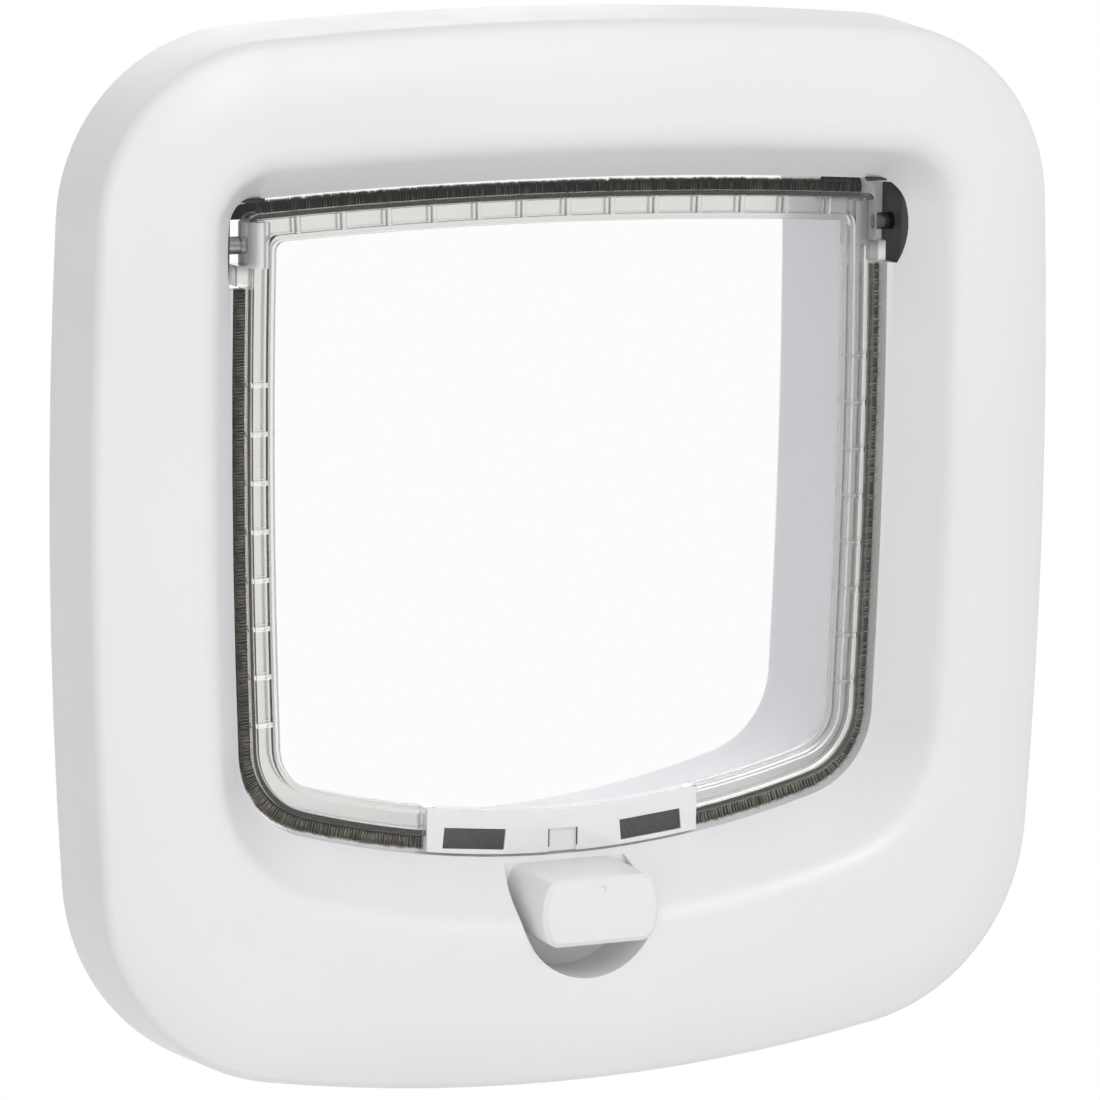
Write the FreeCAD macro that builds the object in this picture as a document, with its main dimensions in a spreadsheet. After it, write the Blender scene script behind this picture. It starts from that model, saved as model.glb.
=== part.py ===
import FreeCAD, Part
import math
import os
import re

import Sketcher
from FreeCAD import Vector

# A cat flap: the moulded frame on the room side of a door, its clear swinging flap with a pile seal
# and two magnets, and a turning lock that blocks the flap one way, the other way, both or neither.
#
# X runs to the right as seen from the room, Y into the door and Z up. The frame's back lies on the
# door at Y = 0, and the origin is the middle of the frame on that plane. "Out" is a distance from
# that plane towards the room, so out is -Y, and a negative out lies inside the door.

SIZES = {
    # Border of the frame, drawn as tangent arcs
    "frame_width": 241,
    "frame_rise": 124,
    "frame_fall": 123.5,
    "frame_widest": 14,
    "frame_side_radius": 1320,
    "frame_top_radius": 1040,
    "frame_bottom_radius": 440,
    "frame_top_corner": 42.7,
    "frame_bottom_corner": 48.8,
    # Section of the border
    "draft_spread": 1.6,
    "edge_depth": 21,
    "edge_round": 4,
    "crown_width": 20,
    "face_depth": 28.5,
    "wall": 2.5,
    # Mouth of the frame, the opening that the flap hangs in
    "mouth_width": 165.5,
    "mouth_rise": 87,
    "mouth_fall": 71.5,
    "mouth_widest": 40,
    "mouth_side_radius": 1920,
    "mouth_top_radius": 1216,
    "mouth_bottom_radius": 235,
    "mouth_top_corner": 5.5,
    "mouth_bottom_corner": 21,
    "lip_depth": 12.5,
    "lip_chamfer": 0.9,
    # Dish that opens from the mouth to the face of the border
    "dish_side": 11,
    "dish_top": 9,
    "dish_bottom": 13,
    "dish_top_corner": 16,
    "dish_bottom_corner": 33,
    "dish_round": 8,
    # Liner that runs through the door
    "liner_length": 45,
    "liner_wall": 2.2,
    "liner_slack": 0.3,
    "flange_back": 2.6,
    "flange_thickness": 2,
    "flange_width": 10,
    "liner_screw_across": 88.2,
    "liner_screw_up": 40,
    "liner_boss_radius": 3.2,
    "liner_boss_length": 12,
    # Screws that hold the liner
    "screw_radius": 1.4,
    "screw_slack": 0.05,
    "screw_hole_radius": 1.7,
    "screw_length": 9.2,
    "screw_head_radius": 2.7,
    "screw_head_height": 1.5,
    # Pillars for the screws that come through the door
    "pillar_across": 100,
    "pillar_up": 88,
    "pillar_radius": 4.5,
    "pillar_bore_radius": 1.7,
    "pillar_bore_depth": 16,
    "pillar_length": 25,
    # Ribs behind the border
    "rib_thickness": 1.8,
    "rib_bite": 1,
    "rib_back": 5,
    "side_rib_up": 15,
    "end_rib_across": 48,
    # Hinge of the flap
    "hinge_up": 74,
    "flap_depth": 9,
    "pin_radius": 2,
    "pin_slack": 0.05,
    "bearing_inner": 84.5,
    "bearing_thickness": 3.5,
    "bearing_height": 19,
    "bearing_front": 16,
    "bearing_bow": 19,
    "bearing_slack": 0.1,
    "housing_wall": 2.2,
    # Flap
    "pile_gap": 3.5,
    "pile_gap_below": 4.3,
    "flap_top_corner": 2.4,
    "rim_width": 6.6,
    "rim_thickness": 6,
    "rim_ridge": 1.4,
    "rim_groove_depth": 1.9,
    "pane_thickness": 2.6,
    "rim_rib_pitch": 11.2,
    "rim_rib_width": 1.1,
    "top_rib_count": 13,
    "side_rib_count": 8,
    "side_rib_fall": 36,
    "ear_width": 5.4,
    "ear_height": 10.4,
    "pin_end": 0.3,
    "lug_reach": 2.6,
    "lug_low": 65,
    "lug_height": 4.7,
    # Pile seal in the edge of the flap
    "pile_groove_width": 2.2,
    "pile_groove_depth": 1.3,
    "pile_slack": 0.05,
    "pile_thickness": 2.8,
    "pile_clearance": 0.5,
    "pile_top_half": 75.5,
    "pile_side_top": 64,
    # Magnets and the bar that carries them in the bottom of the flap
    "bar_half": 34.5,
    "bar_height": 10,
    "bar_clearance": 0.8,
    "bar_thickness": 6.6,
    "bar_slack": 0.15,
    "tongue_height": 2.8,
    "tongue_half": 32,
    "magnet_across": 23,
    "magnet_length": 15.5,
    "magnet_height": 4.7,
    "magnet_depth": 3.6,
    "magnet_lift": 1.2,
    "magnet_slack": 0.1,
    "magnet_sink": 0.3,
    "catch_width": 7,
    "catch_depth": 0.9,
    "catch_height": 5.5,
    # Steel plates under the sill that the magnets pull on
    "striker_across": 27,
    "striker_length": 12,
    "striker_thickness": 2,
    "striker_depth": 7,
    "striker_slack": 0.15,
    "striker_wall": 1.4,
    # Turning lock in the sill
    "lock_fall": 80.3,
    "knob_radius": 14.8,
    "knob_half": 7.9,
    "knob_front": 35,
    "knob_corner": 3.5,
    "knob_chamfer": 1.2,
    "knob_mark_radius": 0.8,
    "knob_mark_rise": 5.2,
    "knob_mark_depth": 0.5,
    "seat_radius": 17.2,
    "seat_depth": 13,
    "seat_clearance": 0.3,
    "boss_wall": 2.5,
    "spindle_radius": 5,
    "spindle_slack": 0.05,
    "drive_size": 6.4,
    "drive_slack": 0.05,
    "cam_pocket_depth": 5,
    "cam_back": 0.9,
    "cam_hub_radius": 8,
    "cam_lobe_radius": 16.8,
    "cam_lobe_angle": 114,
    "cam_turn": 45,
    "cam_slack": 0.4,
    "lock_screw_radius": 1.5,
    "lock_screw_length": 8,
    "lock_screw_head_radius": 4.2,
    "lock_screw_head_height": 1.1,
    # How far a cutting shape runs past the face that it cuts
    "overcut": 1,
}

doc = FreeCAD.newDocument("CatFlap")
sheet = doc.addObject("Spreadsheet::Sheet", "Sizes")
nodes = {}


def fill_sheet():
    """Write each size and its name into the spreadsheet."""
    for row, (name, size) in enumerate(SIZES.items(), start=1):
        sheet.set(f"A{row}", name)
        sheet.set(f"B{row}", str(size))
        sheet.setAlias(f"B{row}", name)
    doc.recompute()


def formula(text):
    """Turn each size named in the text into a reference to its cell."""
    return re.sub(r"[a-z]\w+", lambda word: "Sizes." + word[0] if word[0] in SIZES else word[0], text)


def number(text):
    """Work out a formula with the sheet's present values."""
    return float(sheet.evalExpression(formula(text)))


def bind(item, setting, text):
    """Tie one setting of an object to a formula."""
    item.setExpression(setting, formula(text))


def sag(radius, distance):
    """How far an arc has dropped at a distance from its crest, as a formula."""
    return f"({radius} - sqrt({radius} * {radius} - ({distance}) * ({distance})))"


class Outline:
    """A closed outline of tangent arcs, the same left and right, with each size as a formula."""

    def __init__(self, half, widest, rise, fall, side, top, bottom, top_corner, bottom_corner):
        self.half = f"({half})"
        self.widest = f"({widest})"
        self.rise = f"({rise})"
        self.fall = f"({fall})"
        self.side = f"({side})"
        self.top = f"({top})"
        self.bottom = f"({bottom})"
        self.top_corner = f"({top_corner})"
        self.bottom_corner = f"({bottom_corner})"

    def corner_centre(self, big_centre, big_radius, small_radius):
        """The centre of the corner arc that touches the right side arc and another big arc from inside."""
        side_centre = Vector(number(self.half) - number(self.side), number(self.widest), 0)
        to_side = number(self.side) - small_radius
        to_big = big_radius - small_radius
        apart = big_centre - side_centre
        along = (to_side**2 - to_big**2 + apart.Length**2) / (2 * apart.Length)
        across = math.sqrt(to_side**2 - along**2)
        unit = apart / apart.Length
        foot = side_centre + unit * along
        choices = [foot + Vector(-unit.y, unit.x, 0) * sign * across for sign in (-1, 1)]
        return max(choices, key=lambda point: point.x)

    def arcs(self, grow):
        """Centre, radius and end angles of each arc in turn, anticlockwise from the middle of the top."""
        side = number(self.side)
        top = number(self.top)
        bottom = number(self.bottom)
        top_corner = number(self.top_corner)
        bottom_corner = number(self.bottom_corner)
        side_centre = Vector(number(self.half) - side, number(self.widest), 0)
        top_centre = Vector(0, number(self.rise) - top, 0)
        bottom_centre = Vector(0, bottom - number(self.fall), 0)
        upper = self.corner_centre(top_centre, top, top_corner)
        lower = self.corner_centre(bottom_centre, bottom, bottom_corner)
        from_top = angle(upper - top_centre)
        from_side = angle(upper - side_centre)
        to_side = angle(lower - side_centre)
        to_bottom = angle(lower - bottom_centre)
        half_turn = math.pi
        return [
            (top_centre, top + grow, half_turn / 2, half_turn - from_top),
            (mirror_point(upper), top_corner + grow, half_turn - from_top, half_turn - from_side),
            (mirror_point(side_centre), side + grow, half_turn - from_side, half_turn - to_side),
            (mirror_point(lower), bottom_corner + grow, half_turn - to_side, half_turn - to_bottom),
            (bottom_centre, bottom + grow, -half_turn - to_bottom, to_bottom),
            (lower, bottom_corner + grow, to_bottom, to_side),
            (side_centre, side + grow, to_side, from_side),
            (upper, top_corner + grow, from_side, from_top),
            (top_centre, top + grow, from_top, half_turn / 2),
        ]


def angle(direction):
    """The direction's angle from +X, in radians."""
    return math.atan2(direction.y, direction.x)


def mirror_point(point):
    """The same point on the other side of the middle."""
    return Vector(-point.x, point.y, point.z)


BORDER = Outline(
    half="frame_width / 2",
    widest="frame_widest",
    rise="frame_rise",
    fall="frame_fall",
    side="frame_side_radius",
    top="frame_top_radius",
    bottom="frame_bottom_radius",
    top_corner="frame_top_corner",
    bottom_corner="frame_bottom_corner",
)

MOUTH = Outline(
    half="mouth_width / 2",
    widest="mouth_widest",
    rise="mouth_rise",
    fall="mouth_fall",
    side="mouth_side_radius",
    top="mouth_top_radius",
    bottom="mouth_bottom_radius",
    top_corner="mouth_top_corner",
    bottom_corner="mouth_bottom_corner",
)

DISH = Outline(
    half="mouth_width / 2 + dish_side",
    widest="mouth_widest",
    rise="mouth_rise + dish_top",
    fall="mouth_fall + dish_bottom",
    side="mouth_side_radius",
    top="mouth_top_radius",
    bottom="mouth_bottom_radius + dish_bottom",
    top_corner="dish_top_corner",
    bottom_corner="dish_bottom_corner",
)


def inset(form, distance, top_corner):
    """The outline that lies a distance inside another, with a top corner of its own."""
    return Outline(
        half=f"{form.half} - {distance}",
        widest=form.widest,
        rise=f"{form.rise} - {distance}",
        fall=f"{form.fall} - {distance}",
        side=f"{form.side} - {distance}",
        top=f"{form.top} - {distance}",
        bottom=f"{form.bottom} - {distance}",
        top_corner=top_corner,
        bottom_corner=f"{form.bottom_corner} - {distance}",
    )


FLAP = Outline(
    half="mouth_width / 2 - pile_gap",
    widest="mouth_widest",
    rise="mouth_rise - pile_gap",
    fall="mouth_fall - pile_gap_below",
    side="mouth_side_radius - pile_gap",
    top="mouth_top_radius - pile_gap",
    bottom="mouth_bottom_radius - pile_gap_below",
    top_corner="flap_top_corner",
    bottom_corner="mouth_bottom_corner - pile_gap",
)


class Drawing:
    """A sketch on one of a body's origin planes, with each size and place given as a formula."""

    def __init__(self, body, name, plane="XZ_Plane", out="0", across="0", up="0", turn="0"):
        self.sketch = body.newObject("Sketcher::SketchObject", name)
        self.sketch.AttachmentSupport = (origin_plane(body, plane), [""])
        self.sketch.MapMode = "FlatFace"
        for axis, text in (("x", across), ("y", up), ("z", out)):
            bind(self.sketch, f"AttachmentOffset.Base.{axis}", text)
        bind(self.sketch, "AttachmentOffset.Rotation.Angle", turn)

    def size(self, kind, where, text):
        """Add one constraint and tie its value to a formula."""
        index = self.sketch.addConstraint(Sketcher.Constraint(kind, *where, number(text)))
        name = f"{kind}{index}"
        self.sketch.renameConstraint(index, name)
        bind(self.sketch, f"Constraints.{name}", text)

    def place(self, shape, point, x, y):
        """Fix one point of a shape at its distances from the sketch's origin."""
        self.size("DistanceX", (-1, 1, shape, point), x)
        self.size("DistanceY", (-1, 1, shape, point), y)

    def circle(self, x, y, radius):
        """A full circle."""
        centre = Vector(number(x), number(y), 0)
        index = self.sketch.addGeometry(Part.Circle(centre, Vector(0, 0, 1), number(radius)), False)
        self.place(index, 3, x, y)
        self.size("Radius", (index,), radius)

    def polygon(self, corners):
        """A closed run of straight edges through the corners."""
        points = [Vector(number(x), number(y), 0) for x, y in corners]
        first = self.sketch.GeometryCount
        count = len(points)
        for start in range(count):
            self.sketch.addGeometry(Part.LineSegment(points[start], points[(start + 1) % count]), False)
        for start, (x, y) in enumerate(corners):
            follower = first + (start + 1) % count
            self.sketch.addConstraint(Sketcher.Constraint("Coincident", first + start, 2, follower, 1))
            self.place(first + start, 1, x, y)

    def box(self, left, right, low, high):
        """A rectangle between two distances across and two up."""
        self.polygon([(left, low), (right, low), (right, high), (left, high)])

    def outline(self, form, grow="0"):
        """An outline of tangent arcs, grown outwards by a distance."""
        first = self.sketch.GeometryCount
        arcs = form.arcs(number(grow))
        for centre, radius, start, end in arcs:
            circle = Part.Circle(centre, Vector(0, 0, 1), radius)
            self.sketch.addGeometry(Part.ArcOfCircle(circle, start, end), False)
        for index in range(len(arcs)):
            follower = first + (index + 1) % len(arcs)
            self.sketch.addConstraint(Sketcher.Constraint("Tangent", first + index, 2, follower, 1))
        top, top_corner, side, bottom_corner, bottom = range(first, first + 5)
        right_corner, right_side, right_top_corner, right_top = range(first + 5, first + 9)
        twins = (
            (top, right_top, form.top),
            (top_corner, right_top_corner, form.top_corner),
            (side, right_side, form.side),
            (bottom_corner, right_corner, form.bottom_corner),
        )
        for left, right, radius in twins:
            self.size("Radius", (left,), f"{radius} + {grow}")
            self.sketch.addConstraint(Sketcher.Constraint("Equal", left, right))
        self.size("Radius", (bottom,), f"{form.bottom} + {grow}")
        for arc, point in ((top, 3), (top, 1), (bottom, 3)):
            self.sketch.addConstraint(Sketcher.Constraint("PointOnObject", arc, point, -2))
        self.size("DistanceY", (-1, 1, top, 3), f"{form.rise} - {form.top}")
        self.size("DistanceY", (-1, 1, bottom, 3), f"{form.bottom} - ({form.fall})")
        self.place(right_side, 3, f"{form.half} - {form.side}", form.widest)
        self.sketch.addConstraint(Sketcher.Constraint("Symmetric", side, 3, right_side, 3, -2))

    def bowed_box(self, back, front, low, high, bow):
        """A box whose front is an arc, drawn across from the back to the front of the arc."""
        middle = f"(({low}) + ({high})) / 2"
        centre = Vector(number(f"{front} + {bow}"), number(middle), 0)
        radius = number(bow)
        reach = math.asin((number(high) - number(middle)) / radius)
        circle = Part.Circle(centre, Vector(0, 0, 1), radius)
        upper = Vector(number(back), number(high), 0)
        lower = Vector(number(back), number(low), 0)
        arc = Part.ArcOfCircle(circle, math.pi - reach, math.pi + reach)
        edges = (
            arc,
            Part.LineSegment(arc.EndPoint, lower),
            Part.LineSegment(lower, upper),
            Part.LineSegment(upper, arc.StartPoint),
        )
        for edge in edges:
            self.sketch.addGeometry(edge, False)
        for index in range(len(edges)):
            follower = (index + 1) % len(edges)
            self.sketch.addConstraint(Sketcher.Constraint("Coincident", index, 2, follower, 1))
        self.place(0, 3, f"{front} + {bow}", middle)
        self.size("Radius", (0,), bow)
        self.place(2, 1, back, low)
        self.place(2, 2, back, high)
        self.size("DistanceY", (-1, 1, 0, 1), high)
        self.size("DistanceY", (-1, 1, 0, 2), low)

    def band(self, half, outer, inner):
        """A band between two arcs that hang below the sketch's origin, cut off level at both ends."""
        radii = (outer, inner)
        arcs = []
        for radius in radii:
            reach = math.asin(number(half) / number(radius))
            circle = Part.Circle(Vector(0, 0, 0), Vector(0, 0, 1), number(radius))
            arcs.append(Part.ArcOfCircle(circle, -math.pi / 2 - reach, -math.pi / 2 + reach))
        edges = (
            arcs[0],
            Part.LineSegment(arcs[0].EndPoint, arcs[1].EndPoint),
            arcs[1],
            Part.LineSegment(arcs[1].StartPoint, arcs[0].StartPoint),
        )
        for edge in edges:
            self.sketch.addGeometry(edge, False)
        for joint in ((0, 2, 1, 1), (1, 2, 2, 2), (2, 1, 3, 1), (3, 2, 0, 1)):
            self.sketch.addConstraint(Sketcher.Constraint("Coincident", *joint))
        for arc, radius in zip((0, 2), radii):
            self.sketch.addConstraint(Sketcher.Constraint("Coincident", arc, 3, -1, 1))
            self.size("Radius", (arc,), radius)
            self.size("DistanceX", (-1, 1, arc, 1), f"-({half})")
            self.size("DistanceX", (-1, 1, arc, 2), half)

    def flatted_disc(self, radius, half):
        """A disc round the sketch's origin with a flat above and a flat below."""
        reach = math.asin(number(half) / number(radius))
        circle = Part.Circle(Vector(0, 0, 0), Vector(0, 0, 1), number(radius))
        right = Part.ArcOfCircle(circle, -reach, reach)
        left = Part.ArcOfCircle(circle, math.pi - reach, math.pi + reach)
        edges = (
            right,
            Part.LineSegment(right.EndPoint, left.StartPoint),
            left,
            Part.LineSegment(left.EndPoint, right.StartPoint),
        )
        for edge in edges:
            self.sketch.addGeometry(edge, False)
        for index in range(len(edges)):
            follower = (index + 1) % len(edges)
            self.sketch.addConstraint(Sketcher.Constraint("Coincident", index, 2, follower, 1))
        for arc in (0, 2):
            self.sketch.addConstraint(Sketcher.Constraint("Coincident", arc, 3, -1, 1))
        self.size("Radius", (0,), radius)
        self.sketch.addConstraint(Sketcher.Constraint("Equal", 0, 2))
        self.sketch.addConstraint(Sketcher.Constraint("Horizontal", 1))
        self.sketch.addConstraint(Sketcher.Constraint("Horizontal", 3))
        self.size("DistanceY", (-1, 1, 1, 1), half)
        self.size("DistanceY", (-1, 1, 3, 1), f"-({half})")

    def sector(self, radius, sweep):
        """A slice of a disc round the sketch's origin, spread evenly about straight down."""
        half_sweep = math.radians(number(sweep) / 2)
        circle = Part.Circle(Vector(0, 0, 0), Vector(0, 0, 1), number(radius))
        arc = Part.ArcOfCircle(circle, -math.pi / 2 - half_sweep, -math.pi / 2 + half_sweep)
        edges = (
            arc,
            Part.LineSegment(arc.EndPoint, Vector(0, 0, 0)),
            Part.LineSegment(Vector(0, 0, 0), arc.StartPoint),
        )
        for edge in edges:
            self.sketch.addGeometry(edge, False)
        for index in range(len(edges)):
            follower = (index + 1) % len(edges)
            self.sketch.addConstraint(Sketcher.Constraint("Coincident", index, 2, follower, 1))
        self.sketch.addConstraint(Sketcher.Constraint("Coincident", 0, 3, -1, 1))
        self.sketch.addConstraint(Sketcher.Constraint("Coincident", 1, 2, -1, 1))
        self.size("Radius", (0,), radius)
        self.size("DistanceX", (-1, 1, 0, 1), f"-({radius}) * sin({sweep} / 2 * 1 deg)")
        self.size("DistanceX", (-1, 1, 0, 2), f"({radius}) * sin({sweep} / 2 * 1 deg)")

    def border_section(self):
        """The section of the border at the middle of the top: side wall, rounded edge and crowned face."""
        rise = number("frame_rise")
        edge_round = number("edge_round")
        crown_width = number("crown_width")
        wall_line = Vector(number("draft_spread"), number("edge_depth"), 0).normalize()
        edge_centre = Vector(wall_line.y, number("edge_depth") / edge_round - wall_line.x, 0) * edge_round
        across = crown_width - edge_centre.x
        above = number("face_depth") - edge_centre.y
        crown = (across**2 + above**2 - edge_round**2) / (2 * (above - edge_round))
        crown_centre = Vector(crown_width, number("face_depth") - crown, 0)
        meeting = crown_centre + (edge_centre - crown_centre).normalize() * crown

        def local(point):
            """From inset and depth to the sketch's own directions."""
            return Vector(-point.y, rise - point.x, 0)

        def arc(centre, radius, start, end):
            """An arc from one point to another, anticlockwise."""
            circle = Part.Circle(local(centre), Vector(0, 0, 1), radius)
            first = angle(local(start) - local(centre))
            last = angle(local(end) - local(centre))
            return Part.ArcOfCircle(circle, first, last if last > first else last + 2 * math.pi)

        foot = Vector(-number("draft_spread"), 0, 0)
        shoulder = Vector(0, number("edge_depth"), 0)
        crest = Vector(crown_width, number("face_depth"), 0)
        inner = Vector(crown_width + number("overcut"), crest.y, 0)
        inner_foot = Vector(inner.x, 0, 0)
        edges = (
            Part.LineSegment(local(foot), local(shoulder)),
            arc(edge_centre, edge_round, shoulder, meeting),
            arc(crown_centre, crown, meeting, crest),
            Part.LineSegment(local(crest), local(inner)),
            Part.LineSegment(local(inner), local(inner_foot)),
            Part.LineSegment(local(inner_foot), local(foot)),
        )
        for edge in edges:
            self.sketch.addGeometry(edge, False)
        for index in (0, 1, 2):
            self.sketch.addConstraint(Sketcher.Constraint("Tangent", index, 2, index + 1, 1))
        for index in (3, 4, 5):
            follower = (index + 1) % len(edges)
            self.sketch.addConstraint(Sketcher.Constraint("Coincident", index, 2, follower, 1))
        self.place(0, 1, "0", "frame_rise + draft_spread")
        self.place(0, 2, "-edge_depth", "frame_rise")
        self.size("Radius", (1,), "edge_round")
        self.place(2, 2, "-face_depth", "frame_rise - crown_width")
        self.sketch.addConstraint(Sketcher.Constraint("Vertical", 3))
        self.size("DistanceY", (-1, 1, 3, 2), "frame_rise - crown_width - overcut")
        self.sketch.addConstraint(Sketcher.Constraint("Horizontal", 4))
        self.sketch.addConstraint(Sketcher.Constraint("Vertical", 5))

    def hollow_section(self):
        """The section of the hollow behind the border, with a slanted edge under the rounded one."""
        slant = "(edge_round - wall) * sin(45 deg)"
        corners = (
            ("wall - draft_spread", "-overcut"),
            ("wall", "edge_depth"),
            (f"edge_round - {slant}", f"edge_depth + {slant}"),
            ("crown_width", "face_depth - wall"),
            ("crown_width + overcut", "face_depth - wall"),
            ("crown_width + overcut", "-overcut"),
        )
        self.polygon([(f"-({out})", f"frame_rise - ({inset})") for inset, out in corners])


def origin_plane(body, role):
    """One of the three origin planes of a body."""
    return next(item for item in body.Origin.OriginFeatures if item.Role == role)


def new_body(name):
    """A body whose label is the name of its node."""
    body = doc.addObject("PartDesign::Body", name)
    body.Label = name
    nodes[name] = body
    return body


def new_feature(body, kind, name, drawing=None):
    """A feature at the tip of a body, on a drawing if it has one."""
    item = body.newObject(f"PartDesign::{kind}", name)
    if drawing is not None:
        item.Profile = drawing.sketch
    return item


def check_change(body, before, grows):
    """Stop if a feature left the body's volume as it was, or moved it the wrong way."""
    doc.recompute()
    after = body.Shape.Volume
    if (after > before) != grows or abs(after - before) < 0.001:
        raise RuntimeError(f"{body.Tip.Name} changed the volume from {before:.2f} to {after:.2f}")


def volume(body):
    """The body's present volume."""
    doc.recompute()
    return 0.0 if body.Shape.isNull() else body.Shape.Volume


def pad(body, name, drawing, length, backwards=False):
    """Raise a drawing along its plane's normal, or against it."""
    before = volume(body)
    item = new_feature(body, "Pad", name, drawing)
    bind(item, "Length", length)
    item.Reversed = backwards
    check_change(body, before, True)
    return item


def pocket(body, name, drawing, length, forwards=False):
    """Cut a drawing into the body against its plane's normal, or along it."""
    before = volume(body)
    item = new_feature(body, "Pocket", name, drawing)
    bind(item, "Length", length)
    item.Reversed = forwards
    check_change(body, before, False)
    return item


def loft(body, name, drawings, cuts):
    """A straight-sided form between two drawings, added or cut."""
    before = volume(body)
    kind = "SubtractiveLoft" if cuts else "AdditiveLoft"
    item = new_feature(body, kind, name, drawings[0])
    item.Sections = [(drawing.sketch, [""]) for drawing in drawings[1:]]
    item.Ruled = True
    check_change(body, before, not cuts)
    return item


def sweep(body, name, section, path, cuts):
    """A section carried round a closed path, added or cut."""
    before = volume(body)
    kind = "SubtractivePipe" if cuts else "AdditivePipe"
    item = new_feature(body, kind, name, section)
    item.Spine = (path.sketch, [f"Edge{index + 1}" for index in range(path.sketch.GeometryCount)])
    check_change(body, before, not cuts)
    return item


def revolve(body, name, drawing, axis="H_Axis"):
    """Turn a drawing once round one of its own axes."""
    item = new_feature(body, "Revolution", name, drawing)
    item.ReferenceAxis = (drawing.sketch, [axis])
    item.Angle = 360
    doc.recompute()
    return item


def mirror(body, name, features, role="YZ_Plane"):
    """Repeat features on the other side of an origin plane."""
    item = body.newObject("PartDesign::Mirrored", name)
    item.Originals = features
    item.MirrorPlane = (origin_plane(body, role), [""])
    body.Tip = item
    doc.recompute()
    return item


def four_ways(body, name, features):
    """Repeat features left and right, above and below."""
    before = volume(body)
    item = body.newObject("PartDesign::MultiTransform", name)
    steps = []
    for role in ("YZ_Plane", "XY_Plane"):
        step = body.newObject("PartDesign::Mirrored", f"{name}_{role[:2]}")
        step.MirrorPlane = (origin_plane(body, role), [""])
        steps.append(step)
    item.Originals = features
    item.Transformations = steps
    body.Tip = item
    doc.recompute()
    if abs(volume(body) - before) < 0.001:
        raise RuntimeError(f"{name} repeated nothing")
    return item


def edges_where(shape, test):
    """The names of the edges whose middle and ends pass a test."""
    found = []
    for index, edge in enumerate(shape.Edges):
        low, high = edge.ParameterRange
        points = [edge.valueAt(low + (high - low) * share) for share in (0, 0.5, 1)]
        if all(test(point) for point in points):
            found.append(f"Edge{index + 1}")
    return found


def ease_edges(body, name, kind, size, test):
    """Put a fillet or a chamfer of a size on each edge that lies where the test says."""
    before = volume(body)
    names = edges_where(body.Tip.Shape, test)
    if not names:
        raise RuntimeError(f"{name} found no edge")
    base = body.Tip
    item = body.newObject(f"PartDesign::{kind}", name)
    item.Base = (base, names)
    bind(item, "Radius" if kind == "Fillet" else "Size", size)
    check_change(body, before, False)
    return item


def twin(source, name):
    """The same piece mirrored to the other side of the middle."""
    item = doc.addObject("Part::Mirroring", name)
    item.Source = source
    item.Normal = Vector(1, 0, 0)
    item.Label = name
    nodes[name] = item
    return item


THROAT_BACK = "flange_back + flange_thickness"
FLAP_FRONT = "flap_depth + rim_thickness / 2"
FLAP_HALF = "mouth_width / 2 - pile_gap"
BAR_FRONT = "flap_depth + bar_thickness / 2"
SILL_CENTRE = "mouth_bottom_radius - mouth_fall"
BEARING_OUTER = "bearing_inner + bearing_thickness"


def cut_dish(body):
    """Open the dish that slopes from the face down to the lip of the mouth."""
    face = Drawing(body, "DishAtFace", out="face_depth")
    face.outline(DISH)
    lip = Drawing(body, "DishAtLip", out="lip_depth")
    lip.outline(MOUTH, "lip_chamfer")
    loft(body, "Dish", (face, lip), cuts=True)


def bearing_shape(drawing, slack):
    """The bearing's section, seen along the hinge: flat behind, bowed in front."""
    drawing.bowed_box(
        back=f"-({THROAT_BACK}) - ({slack})",
        front=f"{slack} - bearing_front",
        low=f"hinge_up - bearing_height / 2 + {slack}",
        high=f"hinge_up + bearing_height / 2 - ({slack})",
        bow=f"bearing_bow - ({slack})",
    )


def add_rib(body, name, plane, place, reach, inner, points_to):
    """One rib between the mouth's wall and the border's wall, closed against the skin in front."""
    bend = "(edge_round - wall / 2)"
    corners = (
        (inner, "rib_back"),
        (reach, "rib_back"),
        (f"{reach} - wall / 2", "edge_depth"),
        (f"{reach} - edge_round + {bend} * cos(45 deg)", f"edge_depth + {bend} * sin(45 deg)"),
        (f"{reach} - edge_round", f"edge_depth + {bend}"),
        (f"{reach} - crown_width", "face_depth - wall + rib_bite"),
        (inner, "face_depth - wall + rib_bite"),
    )
    rib = Drawing(body, f"{name}Sketch", plane=plane, out=f"{place} - rib_thickness / 2")
    rib.polygon([points_to(across, out) for across, out in corners])
    return pad(body, name, rib, "rib_thickness")


def build_frame_block(body):
    """The border swept round its outline, filled in the middle and hollowed from behind."""
    path = Drawing(body, "BorderPath")
    path.outline(BORDER, "draft_spread")
    outer = Drawing(body, "BorderSection", plane="YZ_Plane")
    outer.border_section()
    sweep(body, "Border", outer, path, cuts=False)
    middle = Drawing(body, "MiddleOutline")
    middle.outline(BORDER, "-crown_width")
    pad(body, "Middle", middle, "face_depth")
    inner = Drawing(body, "HollowSection", plane="YZ_Plane")
    inner.hollow_section()
    sweep(body, "Hollow", inner, path, cuts=True)
    hollow = Drawing(body, "HollowOutline", out="face_depth - wall")
    hollow.outline(BORDER, "-crown_width")
    pocket(body, "HollowMiddle", hollow, "face_depth")


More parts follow.
